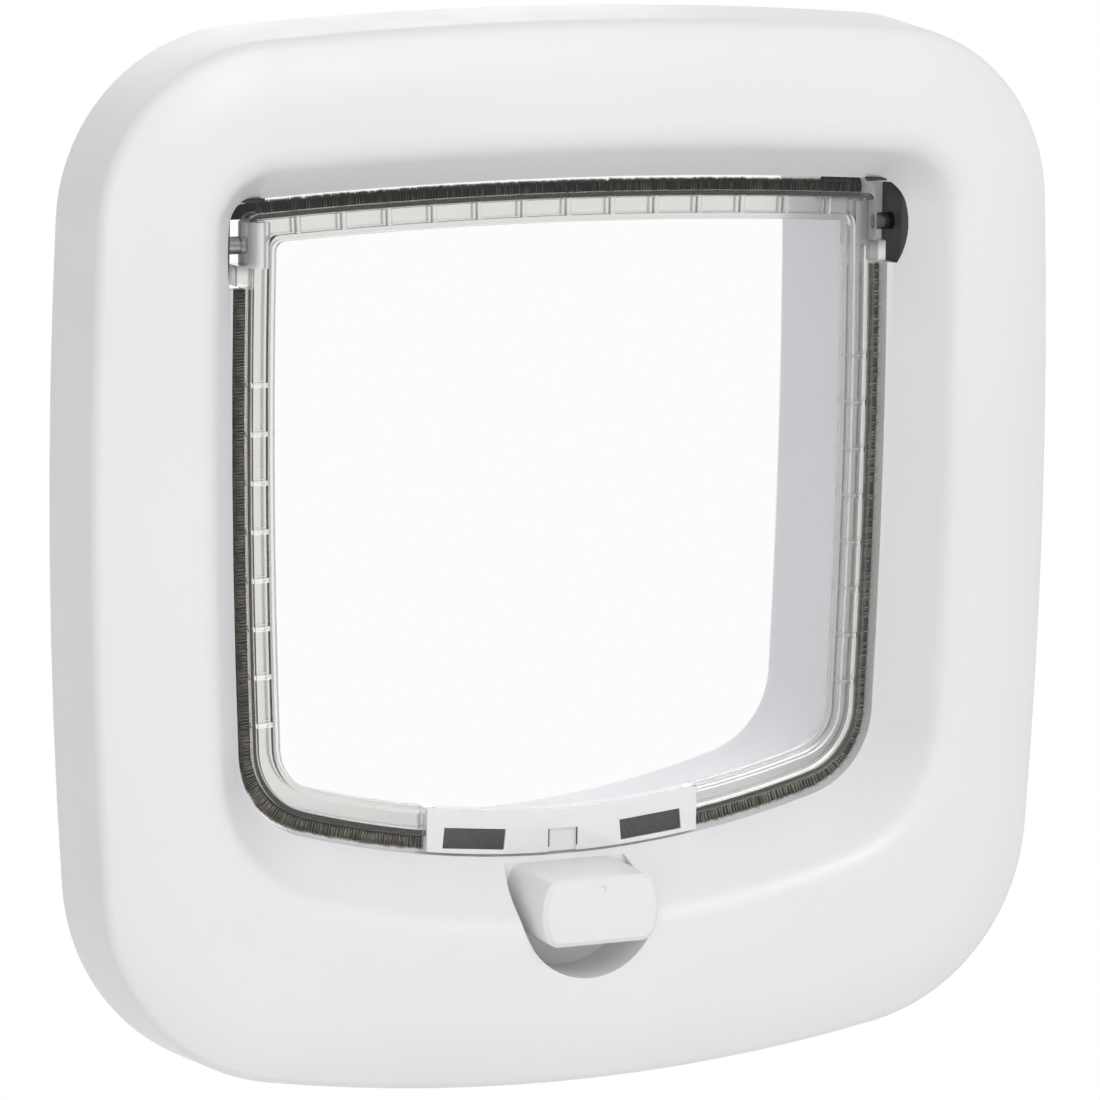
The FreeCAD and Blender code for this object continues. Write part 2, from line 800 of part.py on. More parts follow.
def build_frame_insides(body):
    """The solid pieces behind the face, before the dish and the mouth are cut through them."""
    wide = Drawing(body, "FunnelAtFace", out="face_depth - wall / 2")
    wide.outline(DISH, "wall")
    narrow = Drawing(body, "FunnelAtLip", out="lip_depth - wall / 2")
    narrow.outline(MOUTH, "wall")
    loft(body, "Funnel", (wide, narrow), cuts=False)
    throat = Drawing(body, "ThroatOutline", out=THROAT_BACK)
    throat.outline(MOUTH, "wall")
    pad(body, "Throat", throat, f"lip_depth - wall / 2 - ({THROAT_BACK})")

    housing = Drawing(body, "HousingOutline", plane="YZ_Plane", out="mouth_width / 2 - wall")
    housing.box(
        "-bearing_front - housing_wall",
        f"-({THROAT_BACK})",
        "hinge_up - bearing_height / 2 - housing_wall",
        "hinge_up + bearing_height / 2 + housing_wall",
    )
    reach = f"{BEARING_OUTER} + bearing_slack + housing_wall - mouth_width / 2 + wall"
    right_housing = pad(body, "HingeHousing", housing, reach)
    striker = sill_drawing(body, "StrikerHousing", "striker_across", THROAT_BACK)
    striker.box(
        "-striker_length / 2 - striker_slack - striker_wall",
        "striker_length / 2 + striker_slack + striker_wall",
        "-mouth_bottom_radius - wall - striker_thickness - 2 * striker_slack - striker_wall",
        "-mouth_bottom_radius - wall / 2",
    )
    depth = "striker_depth + striker_slack + striker_wall"
    right_striker = pad(body, "StrikerHousingPad", striker, depth)
    mirror(body, "LeftHousings", [right_housing, right_striker])

    boss = Drawing(body, "LockBossOutline", up="-lock_fall")
    boss.circle("0", "0", "seat_radius + boss_wall")
    pad(body, "LockBoss", boss, "face_depth - wall / 2")

    pillar = Drawing(body, "PillarOutline")
    pillar.circle("pillar_across", "pillar_up", "pillar_radius")
    first_pillar = pad(body, "Pillar", pillar, "pillar_length")
    liner_boss = Drawing(body, "LinerBossOutline", out=THROAT_BACK)
    liner_boss.circle("liner_screw_across", "liner_screw_up", "liner_boss_radius")
    first_boss = pad(body, "LinerBoss", liner_boss, "liner_boss_length")
    four_ways(body, "FourPillars", [first_pillar, first_boss])

    build_ribs(body)


def build_ribs(body):
    """Ribs behind the border: two at each side, two above and two below."""
    inner = "mouth_width / 2 + wall / 2"
    side_rib = add_rib(
        body, "SideRib", "XY_Plane", "side_rib_up", "frame_width / 2", inner, lambda r, d: (r, f"-({d})")
    )
    four_ways(body, "SideRibs", [side_rib])
    top_reach = f"frame_rise - {sag('frame_top_radius', 'end_rib_across')}"
    top_rib = add_rib(
        body, "TopRib", "YZ_Plane", "end_rib_across", top_reach, "mouth_rise", lambda r, d: (f"-({d})", r)
    )
    bottom_reach = f"frame_fall - {sag('frame_bottom_radius', 'end_rib_across')}"
    bottom_rib = add_rib(
        body,
        "BottomRib",
        "YZ_Plane",
        "end_rib_across",
        bottom_reach,
        "mouth_fall",
        lambda r, d: (f"-({d})", f"-({r})"),
    )
    mirror(body, "EndRibs", [top_rib, bottom_rib])


def sill_drawing(body, name, across, out):
    """A sketch turned about the sill's arc, so that straight down points at a place along the sill."""
    return Drawing(body, name, out=out, up=SILL_CENTRE, turn=f"asin({across} / mouth_bottom_radius)")


def cut_frame_openings(body):
    """The dish, the mouth, the lock's seat and the pockets and bores that other pieces sit in."""
    cut_dish(body)
    lip = Drawing(body, "LipOutline", out="lip_depth")
    lip.outline(MOUTH, "lip_chamfer")
    mouth = Drawing(body, "MouthOutline", out="lip_depth - lip_chamfer")
    mouth.outline(MOUTH)
    loft(body, "LipChamfer", (lip, mouth), cuts=True)
    opening = Drawing(body, "OpeningOutline", out="lip_depth - lip_chamfer")
    opening.outline(MOUTH)
    pocket(body, "Opening", opening, "lip_depth - lip_chamfer + overcut")
    face = -number("face_depth")
    half = number(DISH.half) + 0.05
    top = number(DISH.rise) + 0.05
    bottom = -number(DISH.fall) - 0.05
    ease_edges(
        body,
        "DishRound",
        "Fillet",
        "dish_round",
        lambda p: abs(p.y - face) < 0.01 and abs(p.x) < half and bottom < p.z < top,
    )

    seat = Drawing(body, "SeatOutline", out="face_depth + overcut", up="-lock_fall")
    seat.circle("0", "0", "seat_radius")
    pocket(body, "LockSeat", seat, "face_depth + overcut - seat_depth")
    cam_pocket = Drawing(body, "CamPocketOutline", out="cam_pocket_depth", up="-lock_fall")
    cam_pocket.circle("0", "0", "cam_lobe_radius + cam_slack")
    pocket(body, "CamPocket", cam_pocket, "cam_pocket_depth + overcut")
    bore = Drawing(body, "SpindleBoreOutline", out="seat_depth", up="-lock_fall")
    bore.circle("0", "0", "spindle_radius + spindle_slack")
    pocket(body, "SpindleBore", bore, "seat_depth")

    hinge = Drawing(body, "HingePocketOutline", plane="YZ_Plane", out=f"{BEARING_OUTER} + bearing_slack")
    bearing_shape(hinge, "-bearing_slack")
    depth = f"{BEARING_OUTER} + bearing_slack - mouth_width / 2 + mouth_top_corner"
    hinge_pocket = pocket(body, "HingePocket", hinge, depth)
    slot_top = f"{THROAT_BACK} + striker_depth + striker_slack"
    slot = sill_drawing(body, "StrikerSlot", "striker_across", slot_top)
    slot.box(
        "-striker_length / 2 - striker_slack",
        "striker_length / 2 + striker_slack",
        "-mouth_bottom_radius - wall - striker_thickness - 2 * striker_slack",
        "-mouth_bottom_radius - wall",
    )
    striker_slot = pocket(body, "StrikerSlotPocket", slot, f"striker_depth + striker_slack + {THROAT_BACK}")
    mirror(body, "LeftPockets", [hinge_pocket, striker_slot])

    pillar_bore = Drawing(body, "PillarBoreOutline", out="pillar_bore_depth")
    pillar_bore.circle("pillar_across", "pillar_up", "pillar_bore_radius")
    first_bore = pocket(body, "PillarBore", pillar_bore, "pillar_bore_depth + overcut")
    screw_bore = Drawing(body, "ScrewBoreOutline", out="flange_back + screw_length + overcut")
    screw_bore.circle("liner_screw_across", "liner_screw_up", "screw_radius + screw_slack")
    first_screw_bore = pocket(body, "ScrewBore", screw_bore, "screw_length + overcut")
    four_ways(body, "FourBores", [first_bore, first_screw_bore])


def build_front_frame():
    """The moulded frame that covers the cut-out on the room side of the door."""
    body = new_body("front_frame")
    build_frame_block(body)
    build_frame_insides(body)
    cut_frame_openings(body)


def build_door_liner():
    """The sleeve through the door, with a flange that closes the hinge and striker pockets."""
    body = new_body("door_liner")
    flange = Drawing(body, "FlangeOutline", out="flange_back")
    flange.outline(MOUTH, "flange_width")
    pad(body, "Flange", flange, "flange_thickness")
    sleeve = Drawing(body, "SleeveOutline", out="flange_back")
    sleeve.outline(MOUTH, "liner_slack + liner_wall")
    pad(body, "Sleeve", sleeve, "liner_length + flange_back", backwards=True)
    bore = Drawing(body, "LinerMouth", out=THROAT_BACK)
    bore.outline(MOUTH, "liner_slack")
    pocket(body, "LinerBore", bore, f"{THROAT_BACK} + liner_length")
    notch = Drawing(body, "CamNotchOutline", out=THROAT_BACK, up="-lock_fall")
    notch.circle("0", "0", "seat_radius + boss_wall + liner_slack")
    pocket(body, "CamNotch", notch, f"{THROAT_BACK} + overcut")
    hole = Drawing(body, "FlangeHoleOutline", out=THROAT_BACK)
    hole.circle("liner_screw_across", "liner_screw_up", "screw_hole_radius")
    first_hole = pocket(body, "FlangeHole", hole, THROAT_BACK)
    four_ways(body, "FlangeHoles", [first_hole])


def build_liner_screws():
    """Four short screws that hold the liner's flange to the frame."""
    body = new_body("liner_screws")
    section = Drawing(
        body, "ScrewSection", plane="YZ_Plane", out="liner_screw_across", up="liner_screw_up"
    )
    back = "flange_back - screw_head_height"
    end = "flange_back + screw_length"
    half_section(section, back, "flange_back", end, "screw_head_radius", "screw_radius")
    screw = revolve(body, "Screw", section)
    four_ways(body, "FourScrews", [screw])


def half_section(section, back, seat, end, head, shank):
    """Half the section of a headed pin along its axis."""
    corners = ((back, "0"), (back, head), (seat, head), (seat, shank), (end, shank), (end, "0"))
    section.polygon([(f"-({out})", radius) for out, radius in corners])


def build_bearings():
    """The dark bearing block in each hinge pocket, trimmed to the slope of the dish."""
    body = new_body("hinge_bearing_right")
    block = Drawing(body, "BearingOutline", plane="YZ_Plane", out="bearing_inner")
    bearing_shape(block, "bearing_slack")
    pad(body, "Block", block, "bearing_thickness")
    cut_dish(body)
    bore = Drawing(body, "BearingBoreOutline", plane="YZ_Plane", out=f"{BEARING_OUTER} + overcut")
    bore.circle("-flap_depth", "hinge_up", "pin_radius + pin_slack")
    pocket(body, "BearingBore", bore, "bearing_thickness + 2 * overcut")
    twin(body, "hinge_bearing_left")


def build_flap():
    """The clear flap: a pane in a ribbed rim, with ears, pins and lugs at its hinge."""
    body = new_body("flap_panel")
    rim = Drawing(body, "RimOutline", out="flap_depth - rim_thickness / 2")
    rim.outline(FLAP)
    rim.outline(inset(FLAP, "rim_width", "flap_top_corner"))
    pad(body, "Rim", rim, "rim_thickness")
    pane = Drawing(body, "PaneOutline", out="flap_depth - pane_thickness / 2")
    pane.outline(inset(FLAP, "rim_width / 2", "flap_top_corner"))
    pad(body, "Pane", pane, "pane_thickness")
    for name, out, forwards in (
        ("Front", FLAP_FRONT, False),
        ("Back", "flap_depth - rim_thickness / 2", True),
    ):
        groove = Drawing(body, f"{name}GrooveOutline", out=out)
        groove.outline(inset(FLAP, "rim_ridge", "flap_top_corner / 2"))
        groove.outline(inset(FLAP, "(rim_width - rim_ridge)", "flap_top_corner"))
        pocket(body, f"{name}Groove", groove, "rim_groove_depth", forwards)
    pile_groove = Drawing(body, "PileGrooveOutline", out="flap_depth + pile_groove_width / 2")
    pile_groove.outline(FLAP, "overcut")
    pile_groove.outline(inset(FLAP, "pile_groove_depth", "flap_top_corner / 2"))
    pocket(body, "PileGroove", pile_groove, "pile_groove_width")
    build_rim_ribs(body)
    build_flap_ends(body)
    build_bar_seat(body)


def build_rim_ribs(body):
    """Cross ribs between the rim's two ridges, along the top and down both sides."""
    low = "flap_depth - rim_thickness / 2 + rim_groove_depth / 4"
    height = "rim_thickness - rim_groove_depth / 2"
    outer = "pile_gap + (pile_groove_depth + rim_ridge) / 2"
    inner = "pile_gap + rim_width - rim_ridge / 2"
    turn = "(rim_rib_pitch / mouth_top_radius * 1 rad)"
    top_rib = Drawing(
        body,
        "TopRimRib",
        out=low,
        up="mouth_rise - mouth_top_radius",
        turn=f"-(top_rib_count - 1) / 2 * {turn}",
    )
    top_rib.box(
        "-rim_rib_width / 2",
        "rim_rib_width / 2",
        f"mouth_top_radius - ({inner})",
        f"mouth_top_radius - ({outer})",
    )
    first = pad(body, "TopRimRibPad", top_rib, height)
    row = body.newObject("PartDesign::PolarPattern", "TopRimRibs")
    row.Originals = [first]
    row.Axis = (top_rib.sketch, ["N_Axis"])
    bind(row, "Angle", f"(top_rib_count - 1) * {turn}")
    bind(row, "Occurrences", "top_rib_count")
    body.Tip = row

    turn = "(rim_rib_pitch / mouth_side_radius * 1 rad)"
    side_rib = Drawing(
        body,
        "SideRimRib",
        out=low,
        across="mouth_width / 2 - mouth_side_radius",
        up="mouth_widest",
        turn="-(mouth_widest + side_rib_fall) / mouth_side_radius * 1 rad",
    )
    side_rib.box(
        f"mouth_side_radius - ({inner})",
        f"mouth_side_radius - ({outer})",
        "-rim_rib_width / 2",
        "rim_rib_width / 2",
    )
    first = pad(body, "SideRimRibPad", side_rib, height)
    both = body.newObject("PartDesign::MultiTransform", "SideRimRibs")
    column = body.newObject("PartDesign::PolarPattern", "SideRimRibColumn")
    column.Axis = (side_rib.sketch, ["N_Axis"])
    bind(column, "Angle", f"(side_rib_count - 1) * {turn}")
    bind(column, "Occurrences", "side_rib_count")
    other = body.newObject("PartDesign::Mirrored", "SideRimRibMirror")
    other.MirrorPlane = (origin_plane(body, "YZ_Plane"), [""])
    both.Originals = [first]
    both.Transformations = [column, other]
    body.Tip = both
    doc.recompute()


def build_flap_ends(body):
    """The solid ears at the hinge, the pins that stand out of them and the lugs below."""
    back = "flap_depth - rim_thickness / 2"
    ear = Drawing(body, "EarOutline", out=back)
    ear.box(
        f"{FLAP_HALF} - ear_width",
        FLAP_HALF,
        "hinge_up - ear_height / 2",
        "hinge_up + ear_height / 2",
    )
    right_ear = pad(body, "Ear", ear, "rim_thickness")
    lug = Drawing(body, "LugOutline", out=back)
    lug.box(f"{FLAP_HALF} - rim_ridge", f"{FLAP_HALF} + lug_reach", "lug_low", "lug_low + lug_height")
    right_lug = pad(body, "Lug", lug, "rim_thickness")
    pin = Drawing(body, "PinOutline", plane="YZ_Plane", out=f"{FLAP_HALF} - rim_ridge")
    pin.circle("-flap_depth", "hinge_up", "pin_radius")
    right_pin = pad(body, "Pin", pin, f"{BEARING_OUTER} - pin_end - ({FLAP_HALF}) + rim_ridge")
    mirror(body, "LeftEnd", [right_ear, right_lug, right_pin])


def build_bar_seat(body):
    """The gap in the bottom rim that the magnet bar fills, and the tongue that it clips onto."""
    top_of_bar = "mouth_bottom_radius - bar_clearance - bar_height"
    gap = Drawing(body, "BarGap", out=f"{FLAP_FRONT} + overcut", up=SILL_CENTRE)
    gap.band("bar_half + bar_slack", "mouth_bottom_radius + overcut", f"{top_of_bar} - bar_slack")
    pocket(body, "BarGapPocket", gap, "rim_thickness + 2 * overcut")
    tongue = Drawing(body, "TongueOutline", out="flap_depth - pane_thickness / 2", up=SILL_CENTRE)
    tongue.band("tongue_half", f"{top_of_bar} + tongue_height", f"{top_of_bar} - bar_slack - overcut")
    pad(body, "Tongue", tongue, "pane_thickness")


def pile_ring(body):
    """The whole ring of pile round the flap, with its backing down in the groove."""
    pile = Drawing(body, "PileOutline", out="flap_depth - pile_thickness / 2")
    pile.outline(MOUTH, "-pile_clearance")
    pile.outline(FLAP, "pile_slack")
    pad(body, "Pile", pile, "pile_thickness")
    backing = Drawing(body, "BackingOutline", out="flap_depth - pile_groove_width / 2 + pile_slack")
    backing.outline(FLAP, "pile_gap / 2")
    backing.outline(inset(FLAP, "(pile_groove_depth - pile_slack)", "flap_top_corner / 2"))
    pad(body, "Backing", backing, "pile_groove_width - 2 * pile_slack")


def cut_box(body, name, box):
    """Cut a box right through the thickness of the pile."""
    drawing = Drawing(body, f"{name}Outline", out="flap_depth + pile_thickness")
    drawing.box(*box)
    pocket(body, name, drawing, "2 * pile_thickness")


def build_pile_strips():
    """A strip along the top, and one from each hinge round the bottom corner to the magnet bar."""
    top = new_body("pile_strip_top")
    pile_ring(top)
    cut_box(top, "Below", ("-frame_width / 2", "frame_width / 2", "-frame_fall", "lug_low + ear_height"))
    cut_box(top, "RightEnd", ("pile_top_half", "frame_width / 2", "0", "frame_rise"))
    cut_box(top, "LeftEnd", ("-frame_width / 2", "-pile_top_half", "0", "frame_rise"))
    side = new_body("pile_strip_right")
    pile_ring(side)
    cut_box(side, "Above", ("-frame_width / 2", "frame_width / 2", "pile_side_top", "frame_rise"))
    end = "bar_half + pile_clearance"
    cut_box(side, "LeftPart", ("-frame_width / 2", end, "-frame_fall", "pile_side_top + overcut"))
    twin(side, "pile_strip_left")


def magnet_box(drawing, slack):
    """A magnet's outline in a sketch that points down at it."""
    low = f"-mouth_bottom_radius + bar_clearance + magnet_lift - {slack}"
    high = f"-mouth_bottom_radius + bar_clearance + magnet_lift + magnet_height + {slack}"
    drawing.box(f"-magnet_length / 2 - {slack}", f"magnet_length / 2 + {slack}", low, high)


def build_magnet_bar():
    """The bar clipped along the bottom of the flap, with a pocket for each magnet."""
    body = new_body("magnet_bar")
    bar = Drawing(body, "BarOutline", out="flap_depth - bar_thickness / 2", up=SILL_CENTRE)
    top_of_bar = "mouth_bottom_radius - bar_clearance - bar_height"
    bar.band("bar_half", "mouth_bottom_radius - bar_clearance", top_of_bar)
    pad(body, "Bar", bar, "bar_thickness")
    slot = Drawing(body, "TongueSlot", out="flap_depth + pane_thickness / 2 + bar_slack", up=SILL_CENTRE)
    slot_floor = f"{top_of_bar} + tongue_height + bar_slack"
    slot.band("tongue_half + bar_slack", slot_floor, f"{top_of_bar} - overcut")
    pocket(body, "TongueSlotPocket", slot, "pane_thickness + 2 * bar_slack")
    seat = sill_drawing(body, "MagnetSeat", "magnet_across", BAR_FRONT)
    magnet_box(seat, "magnet_slack")
    right_seat = pocket(body, "MagnetSeatPocket", seat, "magnet_sink + magnet_depth + magnet_slack")
    mirror(body, "LeftMagnetSeat", [right_seat])
    catch = Drawing(body, "CatchOutline", out=BAR_FRONT)
    catch.box(
        "-catch_width / 2",
        "catch_width / 2",
        "-mouth_fall",
        "bar_clearance + catch_height - mouth_fall",
    )
    pocket(body, "Catch", catch, "catch_depth")


def build_magnets():
    """The two block magnets in the bar."""
    body = new_body("magnet_right")
    face = sill_drawing(body, "MagnetOutline", "magnet_across", f"{BAR_FRONT} - magnet_sink - magnet_depth")
    magnet_box(face, "0")
    pad(body, "Magnet", face, "magnet_depth")
    twin(body, "magnet_left")


def build_strikers():
    """The two steel plates under the sill that the magnets pull on."""
    body = new_body("striker_right")
    plate = sill_drawing(body, "StrikerOutline", "striker_across", THROAT_BACK)
    plate.box(
        "-striker_length / 2",
        "striker_length / 2",
        "-mouth_bottom_radius - wall - striker_slack - striker_thickness",
        "-mouth_bottom_radius - wall - striker_slack",
    )
    pad(body, "Plate", plate, "striker_depth")
    twin(body, "striker_left")


def build_lock():
    """The knob in its round seat, the cam behind the flap and the screw that joins them."""
    knob = new_body("lock_knob")
    grip = Drawing(knob, "GripOutline", out="seat_depth + seat_clearance", up="-lock_fall")
    grip.flatted_disc("knob_radius", "knob_half")
    pad(knob, "Grip", grip, "knob_front - seat_depth - seat_clearance")
    corner = Vector(math.sqrt(number("knob_radius") ** 2 - number("knob_half") ** 2), 0, number("knob_half"))
    ease_edges(
        knob,
        "GripCorners",
        "Fillet",
        "knob_corner",
        lambda p: abs(abs(p.x) - corner.x) < 0.01 and abs(abs(p.z + number("lock_fall")) - corner.z) < 0.01,
    )
    front = -number("knob_front")
    ease_edges(knob, "GripChamfer", "Chamfer", "knob_chamfer", lambda p: abs(p.y - front) < 0.01)
    mark = Drawing(knob, "MarkOutline", out="knob_front", up="-lock_fall")
    mark.circle("0", "knob_mark_rise", "knob_mark_radius")
    pocket(knob, "Mark", mark, "knob_mark_depth")
    spindle = Drawing(knob, "SpindleOutline", out="seat_depth + seat_clearance", up="-lock_fall")
    spindle.circle("0", "0", "spindle_radius")
    cam_front = "cam_pocket_depth - cam_slack"
    pad(knob, "Spindle", spindle, f"seat_depth + seat_clearance - ({cam_front})", backwards=True)
    drive = Drawing(knob, "DriveOutline", out=cam_front, up="-lock_fall")
    drive.box("-drive_size / 2", "drive_size / 2", "-drive_size / 2", "drive_size / 2")
    head_seat = "cam_back + lock_screw_head_height + 2 * drive_slack"
    pad(knob, "Drive", drive, f"{cam_front} - ({head_seat}) - drive_slack", backwards=True)
    hole = Drawing(knob, "ScrewHoleOutline", out="cam_back + lock_screw_length + overcut", up="-lock_fall")
    hole.circle("0", "0", "lock_screw_radius + drive_slack")
    pocket(knob, "ScrewHole", hole, "lock_screw_length + overcut")

    cam = new_body("lock_cam")
    hub = Drawing(cam, "HubOutline", out="cam_back", up="-lock_fall")
    hub.circle("0", "0", "cam_hub_radius")
    thickness = f"{cam_front} - cam_back"
    pad(cam, "Hub", hub, thickness)
    lobe = Drawing(cam, "LobeOutline", out="cam_back", up="-lock_fall", turn="-cam_turn")
    lobe.sector("cam_lobe_radius", "cam_lobe_angle")
    pad(cam, "Lobe", lobe, thickness)
    socket = Drawing(cam, "SocketOutline", out=cam_front, up="-lock_fall")
    half = "drive_size / 2 + drive_slack"
    socket.box(f"-({half})", half, f"-({half})", half)
    pocket(cam, "Socket", socket, thickness)
    recess = Drawing(cam, "HeadRecessOutline", out=head_seat, up="-lock_fall")
    recess.circle("0", "0", "lock_screw_head_radius + drive_slack")
    pocket(cam, "HeadRecess", recess, f"{head_seat} - cam_back")

    screw = new_body("lock_screw")
    section = Drawing(screw, "LockScrewSection", plane="YZ_Plane", up="-lock_fall")
    back = "cam_back + drive_slack"
    seat = f"{back} + lock_screw_head_height"
    end = "cam_back + lock_screw_length"
    half_section(section, back, seat, end, "lock_screw_head_radius", "lock_screw_radius")
    revolve(screw, "LockScrew", section)


def check_document():
    """Stop if any object failed, or any sub-part has no sound shape."""
    doc.recompute()
    for item in doc.Objects:
        if "Invalid" in item.State or "Error" in item.State:
            raise RuntimeError(f"{item.Name} is {item.State}")
    for name, item in nodes.items():
        if item.Shape.isNull() or not item.Shape.isValid():
            raise RuntimeError(f"{name} has no valid shape")
        print(f"{name}: {len(item.Shape.Solids)} solid, {item.Shape.Volume:.1f} mm3")


def write_parts():
    """Write each sub-part to a file with the name of its node."""
    os.makedirs("parts", exist_ok=True)
    for name, item in nodes.items():
        item.Shape.exportStep(f"parts/{name}.step")


fill_sheet()
build_front_frame()
build_door_liner()
build_liner_screws()
build_bearings()
build_flap()
build_pile_strips()
build_magnet_bar()
build_magnets()
build_strikers()
build_lock()
check_document()
write_parts()
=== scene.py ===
"""Looks of a cat flap: its moulded frame, clear flap with pile seal and magnets, lock and door liner."""

import logging
import math
from dataclasses import dataclass, field
from enum import Enum

import bmesh
import bpy
from mathutils import Matrix, Vector
from mathutils.noise import random as noise_random
from mathutils.noise import seed_set


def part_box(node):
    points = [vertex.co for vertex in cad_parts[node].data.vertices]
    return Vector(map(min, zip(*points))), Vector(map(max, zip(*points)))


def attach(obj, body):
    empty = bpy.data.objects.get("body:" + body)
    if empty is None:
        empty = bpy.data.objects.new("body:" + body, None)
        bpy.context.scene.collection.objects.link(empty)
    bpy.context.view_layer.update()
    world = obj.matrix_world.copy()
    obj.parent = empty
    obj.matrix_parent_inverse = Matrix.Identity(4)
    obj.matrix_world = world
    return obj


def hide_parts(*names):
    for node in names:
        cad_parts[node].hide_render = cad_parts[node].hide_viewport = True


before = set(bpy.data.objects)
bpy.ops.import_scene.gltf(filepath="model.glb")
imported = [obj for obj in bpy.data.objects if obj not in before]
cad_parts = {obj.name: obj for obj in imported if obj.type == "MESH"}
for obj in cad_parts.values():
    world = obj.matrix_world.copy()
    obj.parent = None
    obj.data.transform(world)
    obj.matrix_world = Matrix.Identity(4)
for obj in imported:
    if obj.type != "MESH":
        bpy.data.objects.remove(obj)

LOG = logging.getLogger("cat_flap")
MM = 0.001
Colour = tuple[float, float, float, float]


RIM_SHARE = "rim_share"
FIBRE_SHADE = "fibre_shade"


class Rider(Enum):
    """The bodies that a piece can move with."""

    FRAME = "frame"
    FLAP = "flap"
    LOCK = "lock"


class Side(Enum):
    """Left and right, as seen from the room."""

    LEFT = "left"
    RIGHT = "right"


class Strip(Enum):
    """The three strips of pile round the edge of the flap."""

    TOP = "pile_strip_top"
    LEFT = "pile_strip_left"
    RIGHT = "pile_strip_right"

    def faces_out(self, normal: Vector) -> bool:
        """Whether a wall of this strip faces away from the flap.

        Args:
            normal: The way that the wall faces.

        Returns:
            True for the outer wall, and False for the inner wall and the ends.
        """
        if self is Strip.TOP:
            return normal.z > 0.7
        hand = 1.0 if self is Strip.RIGHT else -1.0
        return normal.x * hand > -0.2 and normal.z < 0.3


class Sheen(Enum):
    """How a moulded surface was finished in its tool, as a roughness."""

    SATIN = 0.36
    FINE = 0.48
    DULL = 0.62


@dataclass
class NodeSheet:
    """A node tree with short calls for adding and joining nodes."""

    tree: bpy.types.NodeTree

    def add(self, kind: str, **settings: object) -> bpy.types.Node:
        """Add a node.

        Args:
            kind: The node's type name.
            settings: Properties of the node, by name.

        Returns:
            The new node.
        """
        node = self.tree.nodes.new(kind)
        for name, value in settings.items():
            setattr(node, name, value)
        return node

    def join(self, source: bpy.types.NodeSocket, target: bpy.types.NodeSocket) -> None:
        """Join an output to an input."""
        self.tree.links.new(source, target)

    def noise(self, place: bpy.types.NodeSocket, scale: float, detail: float = 2.0) -> bpy.types.NodeSocket:
        """Add a noise pattern.

        Args:
            place: The coordinates it reads.
            scale: Lumps per metre.
            detail: How many finer layers it has.

        Returns:
            The pattern's value.
        """
        node = self.add("ShaderNodeTexNoise")
        node.inputs["Scale"].default_value = scale
        node.inputs["Detail"].default_value = detail
        self.join(place, node.inputs["Vector"])
        return node.outputs["Fac"]

    def ramp(self, value: bpy.types.NodeSocket, low: float, high: float) -> bpy.types.NodeSocket:
        """Spread a pattern's middle range over a new range.

        Args:
            value: The pattern, mostly from 0.3 to 0.7.
            low: What the low end becomes.
            high: What the high end becomes.

        Returns:
            The spread value.
        """
        node = self.add("ShaderNodeMapRange")
        node.inputs["From Min"].default_value = 0.3
        node.inputs["From Max"].default_value = 0.7
        node.inputs["To Min"].default_value = low
        node.inputs["To Max"].default_value = high
        self.join(value, node.inputs["Value"])
        return node.outputs["Result"]


def new_group(name: str, inputs: dict[str, str], outputs: dict[str, str]) -> tuple:
    """Start a shader node group.

    Args:
        name: The group's name.
        inputs: Socket names and types that go in.
        outputs: Socket names and types that come out.

    Returns:
        The group, its sheet, its input node and its output node.
    """
    group = bpy.data.node_groups.new(name, "ShaderNodeTree")
    for way, sockets in (("INPUT", inputs), ("OUTPUT", outputs)):
        for label, kind in sockets.items():
            group.interface.new_socket(label, in_out=way, socket_type=kind)
    sheet = NodeSheet(group)
    return group, sheet, sheet.add("NodeGroupInput"), sheet.add("NodeGroupOutput")


def moulded_skin() -> bpy.types.NodeTree:
    """Build the group for moulded plastic: tool grain, slow flow marks and a faint change of shade.

    Returns:
        The node group.
    """
    inputs = {
        "Vector": "NodeSocketVector",
        "Light Shade": "NodeSocketColor",
        "Dark Shade": "NodeSocketColor",
        "Grain Scale": "NodeSocketFloat",
        "Grain Height": "NodeSocketFloat",
        "Smoothest": "NodeSocketFloat",
        "Roughest": "NodeSocketFloat",
    }
    outputs = {"Color": "NodeSocketColor", "Roughness": "NodeSocketFloat", "Normal": "NodeSocketVector"}
    group, sheet, given, result = new_group("MouldedSkin", inputs, outputs)
    place = given.outputs["Vector"]

    flow = sheet.noise(place, 14.0, 3.0)
    shade = sheet.add("ShaderNodeMix", data_type="RGBA")
    sheet.join(sheet.ramp(flow, 0.0, 1.0), shade.inputs["Factor"])
    sheet.join(given.outputs["Light Shade"], shade.inputs["A"])
    sheet.join(given.outputs["Dark Shade"], shade.inputs["B"])
    sheet.join(shade.outputs["Result"], result.inputs["Color"])

    grain = sheet.add("ShaderNodeTexNoise")
    grain.inputs["Detail"].default_value = 3.0
    sheet.join(place, grain.inputs["Vector"])
    sheet.join(given.outputs["Grain Scale"], grain.inputs["Scale"])

    patches = sheet.noise(place, 55.0, 2.0)
    rough = sheet.add("ShaderNodeMapRange")
    rough.inputs["From Min"].default_value = 0.3
    rough.inputs["From Max"].default_value = 0.7
    sheet.join(patches, rough.inputs["Value"])
    sheet.join(given.outputs["Smoothest"], rough.inputs["To Min"])
    sheet.join(given.outputs["Roughest"], rough.inputs["To Max"])
    sheet.join(rough.outputs["Result"], result.inputs["Roughness"])

    bump = sheet.add("ShaderNodeBump")
    bump.inputs["Strength"].default_value = 1.0
    sheet.join(given.outputs["Grain Height"], bump.inputs["Distance"])
    sheet.join(grain.outputs["Fac"], bump.inputs["Height"])
    sheet.join(bump.outputs["Normal"], result.inputs["Normal"])
    return group


